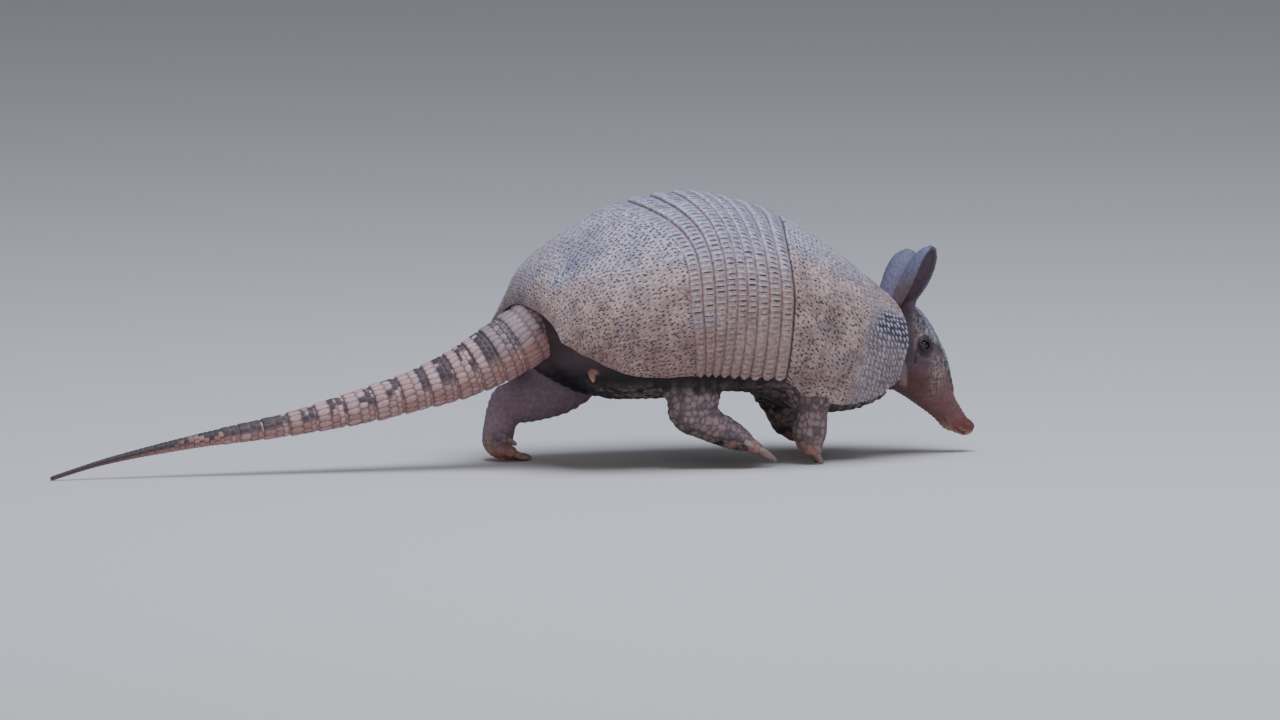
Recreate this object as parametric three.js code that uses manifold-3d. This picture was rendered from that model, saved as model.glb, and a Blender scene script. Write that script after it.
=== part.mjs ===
// A nine-banded armadillo in mid-stride, life size, as a still museum model.
// Units are millimetres, +Z is up, the animal faces +X and its left side is +Y.
// The shell plates, tail rings, head shield, claws and eyes are solids of their own;
// the flesh under them is divided where the body is: head, neck, trunk, tail, legs, feet.
import * as THREE from 'three';
import { mergeVertices } from 'three/addons/utils/BufferGeometryUtils.js';
import Module from 'manifold-3d';

const wasm = await Module();
wasm.setup();

// ---------------------------------------------------------------- driving dimensions

// The middle of the animal's footprint, which becomes the origin of the part.
const FOOTPRINT_CENTRE = new THREE.Vector3(-90.1, 0, 0);

const GAP = 0.35; // clearance between neighbouring solids
const SHELL_THICKNESS = 3;
const BAND_COUNT = 9;
const BAND_LIP = 1.1; // how far a band's rear edge stands over the plate behind it
const FLESH_DEPTH = SHELL_THICKNESS + 0.9; // the trunk lies this far under the shell's face

// Sections of the body from the tail arch to the neck opening. Each one names a point on
// the ridge of the back, on the widest part of the flank and on the shell's lower edge,
// and the height of the belly: ridge x z, flank x y z, edge x y z, belly z.
const BODY_SECTIONS = [
  { ridge: [-89, 114], flank: [-85, 55.5, 93], edge: [-81, 55, 90.5], belly: 76 }, // tail arch
  { ridge: [-90.5, 125], flank: [-79.5, 60.5, 97], edge: [-73, 59.5, 85], belly: 70 },
  { ridge: [-85.8, 137.5], flank: [-70, 66.5, 101.5], edge: [-61, 62, 79.5], belly: 62 },
  { ridge: [-75, 149], flank: [-56, 71.5, 106.5], edge: [-47.5, 63.3, 73.5], belly: 54 },
  { ridge: [-57, 161.6], flank: [-38, 75, 110.5], edge: [-31, 63, 68], belly: 47.5 },
  { ridge: [-39, 172.5], flank: [-12.5, 76, 114], edge: [-4.5, 61.8, 65], belly: 46.5 },
  { ridge: [-20, 181.3], flank: [13.4, 76, 117], edge: [22, 60.5, 65.8], belly: 47 }, // last band
  { ridge: [26.5, 189.3], flank: [40.4, 76, 119], edge: [39.4, 60.3, 65], belly: 49 },
  { ridge: [58.9, 185.4], flank: [62.8, 76, 119.5], edge: [61.4, 60, 62.4], belly: 50 },
  { ridge: [99.4, 172.4], flank: [89.4, 74.5, 118], edge: [87.2, 59.5, 60], belly: 46 }, // first band
  { ridge: [120, 161.5], flank: [109, 71, 112.5], edge: [104, 52, 48.5], belly: 37 },
  { ridge: [141, 146.6], flank: [129, 65, 105.5], edge: [124, 45.5, 41.8], belly: 33 },
  { ridge: [158.5, 133.2], flank: [149, 57, 97.5], edge: [143, 41.5, 40.5], belly: 32.5 },
  { ridge: [171, 122.4], flank: [168, 49, 89], edge: [162, 40, 45], belly: 36 },
  { ridge: [179.5, 115], flank: [184.5, 42.5, 80], edge: [177.5, 41, 56], belly: 43 }, // neck opening
];
const TAIL_ARCH = 0; // section numbers of the shell's joints
const BANDS_REAR = 6;
const BANDS_FRONT = 9;
const NECK_OPENING = 14;
const HIP_TURN = 0.15; // the striding hips swing round: forward on the right side, back on the left

// Head sections from the nape to the nose: crown x z, throat x z, half width.
const HEAD_SECTIONS = [
  { crown: [193.5, 109], throat: [180, 50], halfWidth: 25 },
  { crown: [203, 100.5], throat: [188, 45], halfWidth: 24.5 },
  { crown: [213.5, 86], throat: [197, 39.5], halfWidth: 23 },
  { crown: [221, 72.5], throat: [205, 34], halfWidth: 19.5 },
  { crown: [226, 57], throat: [212.5, 28.5], halfWidth: 14.5 },
  { crown: [229.8, 43], throat: [219, 23], halfWidth: 10.8 },
  { crown: [235.2, 34], throat: [225, 17], halfWidth: 8.8 },
  { crown: [240.5, 25.5], throat: [231, 14.8], halfWidth: 7.8 },
  { crown: [245, 18.4], throat: [239, 12.8], halfWidth: 6 },
];
const NOSE_TIP = [245.2, 0, 14.6];
const HEAD_SHIELD_THICKNESS = 1.3;
const HEAD_SHIELD_SPAN = [0.75, 5.1]; // head sections between which the shield lies
const HEAD_SHIELD_HALF_TURN = 47; // degrees it reaches down each side of the crown
const EYE_RADIUS = 4;
const EYE_CENTRE = { x: 202.4, y: 19.9, z: 78.4 };

const EARS = {
  left: { side: 1, base: [186, 14, 103], tip: [208.5, 27, 139.5] },
  right: { side: -1, base: [184.5, -15, 105], tip: [207, -28, 147] },
};
const EAR_FLAT_WIDTH = 45; // scale of the leaf's width if its curl were pressed flat
const EAR_THICKNESS = 1.6;
const EAR_SET = 0.25; // how far the roll's axis lies in front of the ear's line, in its radii
const EAR_OPENING = [0.64, 0.77, -0.2]; // the way an ear opens: forward, outward, a little down

// Middle line of the tail from inside the body to the tip, which rests on the floor.
const TAIL_LINE = [
  [-64, 0, 105], [-99.4, 0, 83.5], [-132, 1.5, 67], [-166, 4, 55.3], [-195, 6, 47.5],
  [-254, 10, 34.8], [-324, 14.5, 24], [-386, 17.5, 12], [-425, 19, 1.2],
];
const TAIL_RADII = [21, 20.4, 17, 13.3, 11.7, 7.9, 4.6, 2.2, 1.5];
const TAIL_BASE_LENGTH = 34.5; // hidden root, from inside the body to the first ring
const TAIL_RING_LENGTHS = [16, 16, 17, 19, 20, 20, 21, 21, 20, 19, 17, 12];
const TAIL_RING_STEP = 0.7; // how far each ring's rear edge stands out
const CURVE_SAMPLES = 400;

// Legs: each row is x y z, half size fore and aft, half size sideways.
const LEGS = {
  hind_right: [
    [22, -34, 92, 24, 14], [23, -46, 62, 20.5, 13.5],
    [23, -50, 48, 18.5, 13], [22, -50, 34, 12, 12],
  ],
  hind_left: [
    [-26, 32, 82, 26, 15], [-42, 43, 56.5, 23, 15],
    [-66, 45, 44.5, 18, 14], [-86, 45, 38, 12.5, 12],
  ],
  front_right: [
    [112, -26, 74, 19, 12], [112, -37, 52, 14.5, 12.5],
    [112, -42, 38, 12, 11], [111, -42, 20, 11.5, 10.5],
  ],
  front_left: [
    [104, 26, 70, 19, 12], [108, 36, 48, 14.5, 12.5],
    [116, 41, 34, 12, 11], [123, 42, 19, 11, 10.5],
  ],
};

// Feet: the sole's middle line (x y z, half height, half width) from the ankle to the toes.
const FEET = {
  hind_right: [
    [11, -50, 42, 8, 9], [21, -50, 37, 11.5, 11], [37, -50, 30, 11.8, 12.5],
    [53, -50, 22, 9.5, 13.5], [62, -50, 17.5, 6, 12.5],
  ],
  hind_left: [
    [-83, 45, 47, 9, 10], [-86.5, 45, 36, 11.3, 11], [-89, 45, 24, 11.4, 11.5],
    [-90.5, 45, 14, 10.5, 13], [-88.5, 45, 8, 7, 12.5],
  ],
  front_right: [
    [111, -42, 34, 10, 10], [110.7, -42, 24, 11.3, 11],
    [111, -42.5, 17, 10, 12], [112, -42.5, 13, 6.5, 11],
  ],
  front_left: [
    [117, 42, 33, 10, 10], [123, 42, 23, 11, 11],
    [128.5, 42.5, 16, 9.5, 12], [132, 42.5, 12, 6, 11],
  ],
};

// Where each leg is parted from its foot: a point and the way to the toes.
const ANKLES = {
  hind_right: { at: [20, -50, 42], way: [0.35, 0, -0.94] },
  hind_left: { at: [-82, 45, 38], way: [-0.8, 0, -0.6] },
  front_right: { at: [111, -42, 27], way: [0, 0, -1] },
  front_left: { at: [120, 42, 26], way: [0.4, 0, -0.92] },
};

// Toes of each kind of foot: how far along the row of knuckles sideways, how far it is set
// back along the foot, how far it reaches, its thickness, and the length of its claw.
const HIND_TOES = [
  { side: -11.5, setBack: 11, reach: 8, radius: 3.6, claw: 9 },
  { side: -6.8, setBack: 2, reach: 13, radius: 4.4, claw: 13.5 },
  { side: 0, setBack: 0, reach: 15, radius: 4.8, claw: 15 },
  { side: 6.8, setBack: 2, reach: 13, radius: 4.4, claw: 13.5 },
  { side: 11.5, setBack: 11, reach: 8, radius: 3.6, claw: 9 },
];
const FRONT_TOES = [
  { side: -9, setBack: 3.5, reach: 5, radius: 3.4, claw: 8 },
  { side: -3.8, setBack: 0, reach: 9, radius: 4.2, claw: 11 },
  { side: 3.8, setBack: 0, reach: 9, radius: 4.2, claw: 11 },
  { side: 9, setBack: 3.5, reach: 5, radius: 3.4, claw: 8 },
];

// Where each foot's toes point: the direction of the toes and of the claw tips, and the
// side (+1 left, -1 right) on which the outermost toe lies.
const TOE_POSES = {
  hind_right: { toes: HIND_TOES, along: [0.86, 0, -0.5], clawTip: [0.84, 0, -0.54], outside: -1 },
  hind_left: { toes: HIND_TOES, along: [0.88, 0, -0.42], clawTip: [0.86, 0, -0.5], outside: 1 },
  front_right: { toes: FRONT_TOES, along: [0.4, 0, -0.92], clawTip: [0.5, 0, -0.87], outside: -1 },
  front_left: { toes: FRONT_TOES, along: [0.7, 0, -0.7], clawTip: [0.78, 0, -0.62], outside: 1 },
};

const TOE_ROOT = 4; // how far a toe's root lies inside the foot

const COLOURS = {
  shell: 0x9c8c80, scutes: 0x857468, tail: 0xa28b7d, skin: 0x6a5450, face: 0x8f7470,
  ear: 0x6e5f62, eye: 0x120d0c, claw: 0xc4a890,
};

// ---------------------------------------------------------------- solids

/** A closed solid from a geometry whose vertices are moved by place(vertex). */
function warped(geometry, place) {
  geometry.deleteAttribute('normal');
  geometry.deleteAttribute('uv');
  const merged = mergeVertices(geometry);
  const spots = merged.getAttribute('position');
  const vertex = new THREE.Vector3();
  for (let i = 0; i < spots.count; i += 1) {
    vertex.fromBufferAttribute(spots, i);
    const placed = place(vertex);
    spots.setXYZ(i, placed.x, placed.y, placed.z);
  }
  return solidOf(merged);
}

/** A manifold solid of an indexed geometry, turned right side out. */
function solidOf(geometry) {
  const spots = new Float32Array(geometry.getAttribute('position').array);
  const corners = new Uint32Array(geometry.getIndex().array);
  if (signedVolume(spots, corners) < 0) {
    for (let i = 0; i < corners.length; i += 3) {
      [corners[i], corners[i + 1]] = [corners[i + 1], corners[i]];
    }
  }
  return new wasm.Manifold(new wasm.Mesh({ numProp: 3, vertProperties: spots, triVerts: corners }));
}

function signedVolume(spots, corners) {
  const [a, b, c] = [new THREE.Vector3(), new THREE.Vector3(), new THREE.Vector3()];
  let volume = 0;
  for (let i = 0; i < corners.length; i += 3) {
    a.fromArray(spots, corners[i] * 3);
    b.fromArray(spots, corners[i + 1] * 3);
    c.fromArray(spots, corners[i + 2] * 3);
    volume += a.dot(b.cross(c)) / 6;
  }
  return volume;
}

/** The solid with each of the others cut away. */
function cutBy(solid, ...others) {
  return others.reduce((left, other) => left.subtract(other), solid);
}

/** A named mesh of a solid, with its material. */
function meshOf(name, solid, colour, roughness = 0.75) {
  const data = solid.getMesh();
  const geometry = new THREE.BufferGeometry();
  geometry.setAttribute('position', new THREE.BufferAttribute(data.vertProperties.slice(), 3));
  geometry.setIndex(new THREE.BufferAttribute(data.triVerts.slice(), 1));
  geometry.computeVertexNormals();
  const material = new THREE.MeshStandardMaterial({ color: colour, roughness, metalness: 0 });
  const mesh = new THREE.Mesh(geometry, material);
  mesh.name = name;
  return mesh;
}

/** The value at place s of a row of numbers, on a smooth curve through them. */
function smooth(values, s) {
  const last = values.length - 1;
  const i = Math.min(Math.max(Math.floor(s), 0), last - 1);
  const f = s - i;
  const [p1, p2] = [values[i], values[i + 1]];
  const p0 = i > 0 ? values[i - 1] : 2 * p1 - p2;
  const p3 = i + 2 <= last ? values[i + 2] : 2 * p2 - p1;
  const [m1, m2] = [(p2 - p0) / 2, (p3 - p1) / 2];
  return p1 * (2 * f ** 3 - 3 * f ** 2 + 1) + m1 * (f ** 3 - 2 * f ** 2 + f)
    + p2 * (3 * f ** 2 - 2 * f ** 3) + m2 * (f ** 3 - f ** 2);
}

// ---------------------------------------------------------------- the shell's surface

const FLANK_SHARE = 0.63; // share of the way from the ridge to the edge where the flank is widest
const TUCK_ANGLE = THREE.MathUtils.degToRad(60); // how far the side turns under, from flank to edge
const RIDGE_SWEEP = 5; // how late the sections begin to lean towards the ridge
const BACK_ROUNDNESS = 1.02;
const ARCH_SHARPNESS = 0.5; // the arch over the tail is more pointed than the back

/** The body's section at place s, with its numbers interpolated. */
function bodySection(s) {
  const column = (pick) => smooth(BODY_SECTIONS.map(pick), s);
  return {
    ridge: [0, 1].map((k) => column((row) => row.ridge[k])),
    flank: [0, 1, 2].map((k) => column((row) => row.flank[k])),
    edge: [0, 1, 2].map((k) => column((row) => row.edge[k])),
    belly: column((row) => row.belly),
  };
}

/** A point of the shell's face: s runs from tail to neck, a from one edge (-1) to the other (1). */
function shellPoint(s, a) {
  const spot = uprightShellPoint(s, a);
  spot.x -= HIP_TURN * Math.max(0, 1 - s / BANDS_REAR) * spot.y;
  return spot;
}

/** The same point before the hips turn. */
function uprightShellPoint(s, a) {
  const { ridge, flank, edge } = bodySection(s);
  const share = Math.abs(a);
  const side = Math.sign(a);
  if (share <= FLANK_SHARE) {
    const turn = (Math.PI / 2) * (share / FLANK_SHARE);
    const rise = Math.max(Math.cos(turn), 0);
    const sharpness = BACK_ROUNDNESS + ARCH_SHARPNESS * Math.max(0, 1 - s / 2);
    return new THREE.Vector3(
      flank[0] + (ridge[0] - flank[0]) * rise ** RIDGE_SWEEP,
      side * flank[1] * Math.sin(turn),
      flank[2] + (ridge[1] - flank[2]) * rise ** sharpness,
    );
  }
  const turn = TUCK_ANGLE * ((share - FLANK_SHARE) / (1 - FLANK_SHARE));
  const drop = Math.sin(turn) / Math.sin(TUCK_ANGLE);
  const tuck = (1 - Math.cos(turn)) / (1 - Math.cos(TUCK_ANGLE));
  return new THREE.Vector3(
    flank[0] + (edge[0] - flank[0]) * drop,
    side * (flank[1] + (edge[1] - flank[1]) * tuck),
    flank[2] + (edge[2] - flank[2]) * drop,
  );
}

/** The shell's face moved outward (or inward, below zero) along its normal. */
function shellOffset(s, a, outward) {
  const step = 0.02;
  const along = shellPoint(s + step, a).sub(shellPoint(s - step, a));
  const around = shellPoint(s, a + step).sub(shellPoint(s, a - step));
  const normal = along.cross(around).normalize();
  return shellPoint(s, a).addScaledVector(normal, outward);
}

/** A plate of the shell between two places, its rear edge standing out by lip. */
function shellPlate(from, to, segments, { lip = 0, grow = 0, thickness = SHELL_THICKNESS } = {}) {
  const [along, around] = segments;
  const length = shellPoint(from, 0).distanceTo(shellPoint(to, 0));
  const trim = (to - from) * ((GAP / 2 - grow) / length) * 1.6;
  return warped(new THREE.BoxGeometry(1, 1, 1, along, around, 1), (v) => {
    const s = THREE.MathUtils.lerp(from + trim, to - trim, v.x + 0.5);
    const a = 2 * v.y * (1 + grow / 100);
    const rearness = 0.5 - v.x;
    const outward = v.z > 0 ? lip * rearness + grow : -thickness - grow + lip * rearness * 0.5;
    return shellOffset(s, a, outward);
  });
}

const PELVIC_SEGMENTS = [8, 18];
const SHOULDER_SEGMENTS = [7, 18];
const BAND_SEGMENTS = [1, 18];

function bandPlace(index) {
  return BANDS_FRONT - ((BANDS_FRONT - BANDS_REAR) * index) / BAND_COUNT;
}

/** The shell's plates by name, each larger all round by grow. */
function shellPlates(grow = 0) {
  const plates = [
    ['shoulder_shield', shellPlate(BANDS_FRONT, NECK_OPENING, SHOULDER_SEGMENTS, { lip: 0.6, grow })],
    ['pelvic_shield', shellPlate(TAIL_ARCH, BANDS_REAR, PELVIC_SEGMENTS, { grow })],
  ];
  for (let i = 0; i < BAND_COUNT; i += 1) {
    const band = shellPlate(bandPlace(i + 1), bandPlace(i), BAND_SEGMENTS, { lip: BAND_LIP, grow });
    plates.push([`band_${i + 1}`, band]);
  }
  return plates;
}

/** The room the whole shell takes up, for cutting out of its neighbours. */
function shellRoom() {
  return shellPlates(GAP).map(([, plate]) => plate).reduce((all, plate) => all.add(plate));
}

// ---------------------------------------------------------------- trunk and limbs

const TRUNK_PLACES = [0.55, 13.7]; // sections where the trunk's flesh begins and ends
const TRUNK_ROWS = 15;
const TRUNK_SIDES = 20;
const SHELL_TURN_SHARE = 0.74; // share of the trunk's half turn that lies under the shell

/** The trunk: flesh under the shell, closed by the belly between the shell's lower edges. */
function trunk(grow = 0) {
  const [from, to] = TRUNK_PLACES;
  return warped(new THREE.SphereGeometry(1, TRUNK_SIDES, TRUNK_ROWS), (v) => {
    const row = Math.round((Math.acos(THREE.MathUtils.clamp(v.y, -1, 1)) / Math.PI) * TRUNK_ROWS);
    const s = THREE.MathUtils.lerp(from, to, (row - 1) / (TRUNK_ROWS - 2));
    if (row === 0 || row === TRUNK_ROWS) {
      const end = bodySection(row === 0 ? from : to);
      const shift = row === 0 ? -grow : grow;
      return new THREE.Vector3(end.flank[0] + shift, 0, (end.ridge[1] + end.belly) / 2);
    }
    return trunkPoint(s, Math.atan2(v.x, v.z), grow);
  });
}

function trunkPoint(s, turn, grow) {
  const share = Math.abs(turn) / Math.PI;
  const side = Math.sign(turn) || 1;
  if (share <= SHELL_TURN_SHARE) {
    return shellOffset(s, (side * share) / SHELL_TURN_SHARE, grow - FLESH_DEPTH);
  }
  const inner = shellOffset(s, side, grow - FLESH_DEPTH);
  const { belly } = bodySection(s);
  const under = (Math.PI / 2) * ((share - SHELL_TURN_SHARE) / (1 - SHELL_TURN_SHARE));
  const depth = inner.z - (belly - grow);
  return new THREE.Vector3(inner.x, inner.y * Math.cos(under), inner.z - depth * Math.sin(under));
}

/** A limb along a smooth line of rows [x, y, z, half height, half width], with round ends. */
function limb(rows, { sides = 12, steps = 8, grow = 0 } = {}) {
  const line = new THREE.CatmullRomCurve3(rows.map(([x, y, z]) => new THREE.Vector3(x, y, z)));
  const length = line.getLength();
  const across = new THREE.Vector3(0, 1, 0);
  return warped(new THREE.SphereGeometry(1, sides, steps), (v) => {
    const t = Math.acos(THREE.MathUtils.clamp(v.y, -1, 1)) / Math.PI;
    const along = THREE.MathUtils.clamp((1 - Math.cos(Math.PI * t)) / 2, 0, 1);
    const height = smooth(rows.map((row) => row[3]), along * (rows.length - 1)) + grow;
    const width = smooth(rows.map((row) => row[4]), along * (rows.length - 1)) + grow;
    const roundness = Math.min(1, Math.sin(Math.PI * t) * Math.sqrt(length / (2 * height)));
    const tangent = line.getTangent(along);
    const side = across.clone().addScaledVector(tangent, -across.dot(tangent)).normalize();
    const up = side.clone().cross(tangent);
    const turn = Math.atan2(v.x, v.z);
    const reach = grow * (2 * along - 1);
    return line.getPoint(along)
      .addScaledVector(tangent, reach)
      .addScaledVector(up, height * roundness * Math.cos(turn))
      .addScaledVector(side, width * roundness * Math.sin(turn));
  });
}

/** Everything under the floor the animal stands on. */
function underFloor() {
  const size = 1200;
  return solidOf(boxGeometry(size, size, 100).translate(0, 0, -50));
}

function boxGeometry(...size) {
  const box = new THREE.BoxGeometry(...size);
  box.deleteAttribute('normal');
  box.deleteAttribute('uv');
  return mergeVertices(box);
}

/** Toes and claws of one foot, as rows for limb(), in the order outer to inner. */
function toesOf(name) {
  const { toes, along, clawTip, outside } = TOE_POSES[name];
  const sole = FEET[name];
  const soleEnd = new THREE.Vector3(...sole[sole.length - 1]);
  const footWay = soleEnd.clone().sub(new THREE.Vector3(...sole[sole.length - 2])).normalize();
  const ahead = new THREE.Vector3(...along).normalize();
  const tipWay = new THREE.Vector3(...clawTip).normalize();
  return toes.map((toe) => {
    const spread = new THREE.Vector3(0, outside * -toe.side, 0);
    const knuckle = soleEnd.clone().add(spread).addScaledVector(footWay, -toe.setBack)
      .addScaledVector(ahead, -TOE_ROOT);
    const splay = new THREE.Vector3(0, (outside * -toe.side) / 60, 0);
    const way = ahead.clone().add(splay).normalize();
    const tip = knuckle.clone().addScaledVector(way, toe.reach);
    const clawEnd = tip.clone().addScaledVector(tipWay, toe.claw);
    const clawMiddle = tip.clone().lerp(clawEnd, 0.5).addScaledVector(way, 1.2);
    return {
      toe: [
        [...knuckle.toArray(), toe.radius, toe.radius],
        [...tip.toArray(), toe.radius * 0.8, toe.radius * 0.85],
      ],
      claw: [
        [...tip.clone().addScaledVector(tipWay, -4).toArray(), toe.radius * 0.62, toe.radius * 0.6],
        [...clawMiddle.toArray(), toe.radius * 0.5, toe.radius * 0.45],
        [...clawEnd.toArray(), 0.55, 0.55],
      ],
    };
  });
}

/** One leg with its foot and claws: modelled whole, then parted at the ankle and the claws. */
function legParts(name, room, floor) {
  const [pair, side] = name.split('_');
  const toes = toesOf(name);
  const whole = (grow) => toes.reduce(
    (limbs, { toe }) => limbs.add(limb(toe, { sides: 6, steps: 3, grow })),
    limb(LEGS[name], { sides: 10, steps: 6, grow }).add(limb(FEET[name], { sides: 10, steps: 6, grow })),
  );
  const flesh = cutBy(whole(0), room.trunk, room.shell, floor);
  const { at, way } = ANKLES[name];
  const plane = new THREE.Vector3(...way).normalize();
  const place = plane.dot(new THREE.Vector3(...at));
  const leg = flesh.trimByPlane(plane.clone().negate().toArray(), GAP / 2 - place);
  const foot = flesh.trimByPlane(plane.toArray(), GAP / 2 + place);
  const parts = [
    [`${pair}_leg_${side}`, largestPiece(leg), COLOURS.skin],
    [`${pair}_foot_${side}`, largestPiece(foot), COLOURS.skin],
  ];
  const soleRoom = limb(FEET[name], { sides: 10, steps: 6, grow: GAP });
  toes.forEach(({ toe, claw }, index) => {
    const toeRoom = limb(toe, { sides: 6, steps: 3, grow: GAP });
    const solid = cutBy(limb(claw, { sides: 5, steps: 3 }), toeRoom, soleRoom, floor);
    parts.push([`claw_${pair}_${side}_${index + 1}`, largestPiece(solid), COLOURS.claw]);
  });
  return parts;
}

/** The largest connected piece of a solid that a cut may have left in several. */
function largestPiece(solid) {
  return solid.decompose().sort((a, b) => b.volume() - a.volume())[0];
}

// ---------------------------------------------------------------- head, ears and eyes

/** A point of the head's surface: s counts the head's sections, turn goes round from the crown. */
function headPoint(s, turn, outward = 0) {
  const column = (pick) => smooth(HEAD_SECTIONS.map(pick), s);
  const crown = new THREE.Vector3(column((row) => row.crown[0]), 0, column((row) => row.crown[1]));
  const throat = new THREE.Vector3(column((row) => row.throat[0]), 0, column((row) => row.throat[1]));
  const middle = crown.clone().add(throat).multiplyScalar(0.5);
  const up = crown.sub(middle);
  const half = up.length() + outward;
  const width = column((row) => row.halfWidth) + outward;
  return middle.addScaledVector(up.normalize(), half * Math.cos(turn))
    .add(new THREE.Vector3(0, width * Math.sin(turn), 0));
}

const HEAD_ROWS = 14;
const HEAD_SIDES = 16;

function headForm(grow = 0) {
  const lastSection = HEAD_SECTIONS.length - 1;
  return warped(new THREE.SphereGeometry(1, HEAD_SIDES, HEAD_ROWS), (v) => {
    const row = Math.round((Math.acos(THREE.MathUtils.clamp(v.y, -1, 1)) / Math.PI) * HEAD_ROWS);
    if (row === HEAD_ROWS) {
      return new THREE.Vector3(...NOSE_TIP).add(new THREE.Vector3(0.6 * grow, 0, -0.8 * grow));
    }
    const back = new THREE.Vector3(-0.9, 0, 0.3).multiplyScalar(row < 2 ? grow : 0);
    if (row === 0) {
      return headPoint(0, 0).add(headPoint(0, Math.PI)).multiplyScalar(0.5).add(back);
    }
    const s = (row - 1) * (lastSection / (HEAD_ROWS - 2));
    return headPoint(s, Math.atan2(v.x, v.z), grow).add(back);
  });
}

/** The armour plate on the forehead and snout, lying on the head, larger all round by grow. */
function headShield(grow = 0) {
  const halfTurn = THREE.MathUtils.degToRad(HEAD_SHIELD_HALF_TURN + 1.2 * grow);
  return warped(new THREE.BoxGeometry(1, 1, 1, 6, 5, 1), (v) => {
    const s = THREE.MathUtils.lerp(...HEAD_SHIELD_SPAN, v.x + 0.5) + 0.12 * grow * Math.sign(v.x);
    const taper = 1 - 0.35 * Math.max(0, v.x) - 1.2 * Math.max(0, Math.abs(v.x) - 0.4);
    const outward = v.z > 0 ? HEAD_SHIELD_THICKNESS + grow : -grow;
    return headPoint(s, 2 * v.y * halfTurn * taper, outward);
  });
}

function eyeForm(side, grow = 0) {
  const centre = new THREE.Vector3(EYE_CENTRE.x, side * EYE_CENTRE.y, EYE_CENTRE.z);
  return warped(new THREE.SphereGeometry(EYE_RADIUS + grow, 8, 6), (v) => v.clone().add(centre));
}

/** An ear: a leaf curled into a funnel that opens forward and outward. */
function earForm({ side, base, tip }) {
  const root = new THREE.Vector3(...base);
  const spine = new THREE.Vector3(...tip).sub(root);
  const axis = spine.clone().normalize();
  const [forward, outward, upward] = EAR_OPENING;
  const openTo = new THREE.Vector3(forward, side * outward, upward);
  const front = openTo.addScaledVector(axis, -openTo.dot(axis)).normalize();
  const across = axis.clone().cross(front);
  return warped(new THREE.BoxGeometry(1, 1, 1, 6, 6, 1), (v) => {
    const height = v.y + 0.5;
    const leaf = 1.05 * (0.5 + 1.3 * height) * Math.max(1 - height, 0.02) ** 0.55;
    const curl = THREE.MathUtils.degToRad(110 - 35 * height ** 2);
    const radius = ((EAR_FLAT_WIDTH / 2) * leaf) / curl;
    const turn = 2 * v.x * curl;
    const face = radius + Math.sign(v.z) * (EAR_THICKNESS / 2);
    return root.clone()
      .addScaledVector(spine, height)
      .addScaledVector(front, radius * EAR_SET - face * Math.cos(turn))
      .addScaledVector(across, face * Math.sin(turn));
  });
}

function headParts(room) {
  const head = headForm();
  const headRoom = headForm(GAP);
  const neckLine = [[158, 0, 78, 30, 31], [176, 0, 77, 29.5, 30], [192, 0, 76, 27, 25]];
  const neck = cutBy(limb(neckLine, { sides: 14, steps: 6 }), headRoom, room.trunk, room.shell);
  const parts = [
    ['neck', largestPiece(neck), COLOURS.skin],
    ['head_shield', cutBy(headShield(), eyeForm(1, 2 * GAP), eyeForm(-1, 2 * GAP)), COLOURS.scutes],
  ];
  let skull = cutBy(head, room.trunk, room.shell, headShield(GAP));
  for (const [word, earShape] of Object.entries(EARS)) {
    const { side } = earShape;
    skull = skull.subtract(eyeForm(side, GAP));
    const ear = cutBy(earForm(earShape), headForm(GAP + HEAD_SHIELD_THICKNESS + GAP), room.shell);
    parts.push([`ear_${word}`, largestPiece(ear), COLOURS.ear]);
    parts.push([`eye_${word}`, eyeForm(side), COLOURS.eye]);
  }
  parts.push(['head', largestPiece(skull), COLOURS.face]);
  return parts;
}

// ---------------------------------------------------------------- tail

const tailLine = new THREE.CatmullRomCurve3(TAIL_LINE.map((spot) => new THREE.Vector3(...spot)));
tailLine.arcLengthDivisions = CURVE_SAMPLES;

/** The tail's radius at a share of its whole length. */
function tailRadius(share) {
  return smooth(TAIL_RADII, tailLine.getUtoTmapping(share) * (TAIL_RADII.length - 1));
}

/** A length of the tail between two distances from its root; its rear edge stands out by step. */
function tailLength(from, to, { step = 0, sides = 14, rows = 1 } = {}) {
  const whole = tailLine.getLength();
  return warped(new THREE.CylinderGeometry(1, 1, 1, sides, rows), (v) => {
    const distance = THREE.MathUtils.lerp(from + GAP / 2, to - GAP / 2, v.y + 0.5);
    const share = THREE.MathUtils.clamp(distance / whole, 0, 1);
    const tangent = tailLine.getTangentAt(share);
    const side = new THREE.Vector3(0, 1, 0).addScaledVector(tangent, -tangent.y).normalize();
    const up = tangent.clone().cross(side);
    const radius = (tailRadius(share) + step * (v.y + 0.5)) * Math.hypot(v.x, v.z);
    const turn = Math.atan2(v.z, v.x);
    return tailLine.getPointAt(share)
      .addScaledVector(side, radius * Math.cos(turn))
      .addScaledVector(up, radius * Math.sin(turn));
  });
}

function tailParts(room, floor) {
  const base = cutBy(tailLength(0, TAIL_BASE_LENGTH), room.trunk, room.shell);
  const parts = [['tail_base', largestPiece(base), COLOURS.skin]];
  let reached = TAIL_BASE_LENGTH;
  TAIL_RING_LENGTHS.forEach((length, index) => {
    const ring = tailLength(reached, reached + length, { step: TAIL_RING_STEP });
    parts.push([`tail_ring_${index + 1}`, cutBy(ring, room.shell), COLOURS.tail]);
    reached += length;
  });
  const tip = tailLength(reached, tailLine.getLength() + GAP / 2, { sides: 10, rows: 5 });
  parts.push(['tail_tip', cutBy(tip, floor), COLOURS.scutes]);
  return parts;
}

// ---------------------------------------------------------------- the animal

const armadillo = new THREE.Group();
armadillo.name = 'armadillo';
armadillo.position.copy(FOOTPRINT_CENTRE).negate();

const room = { trunk: trunk(GAP), shell: shellRoom() };
const floor = underFloor();

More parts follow.
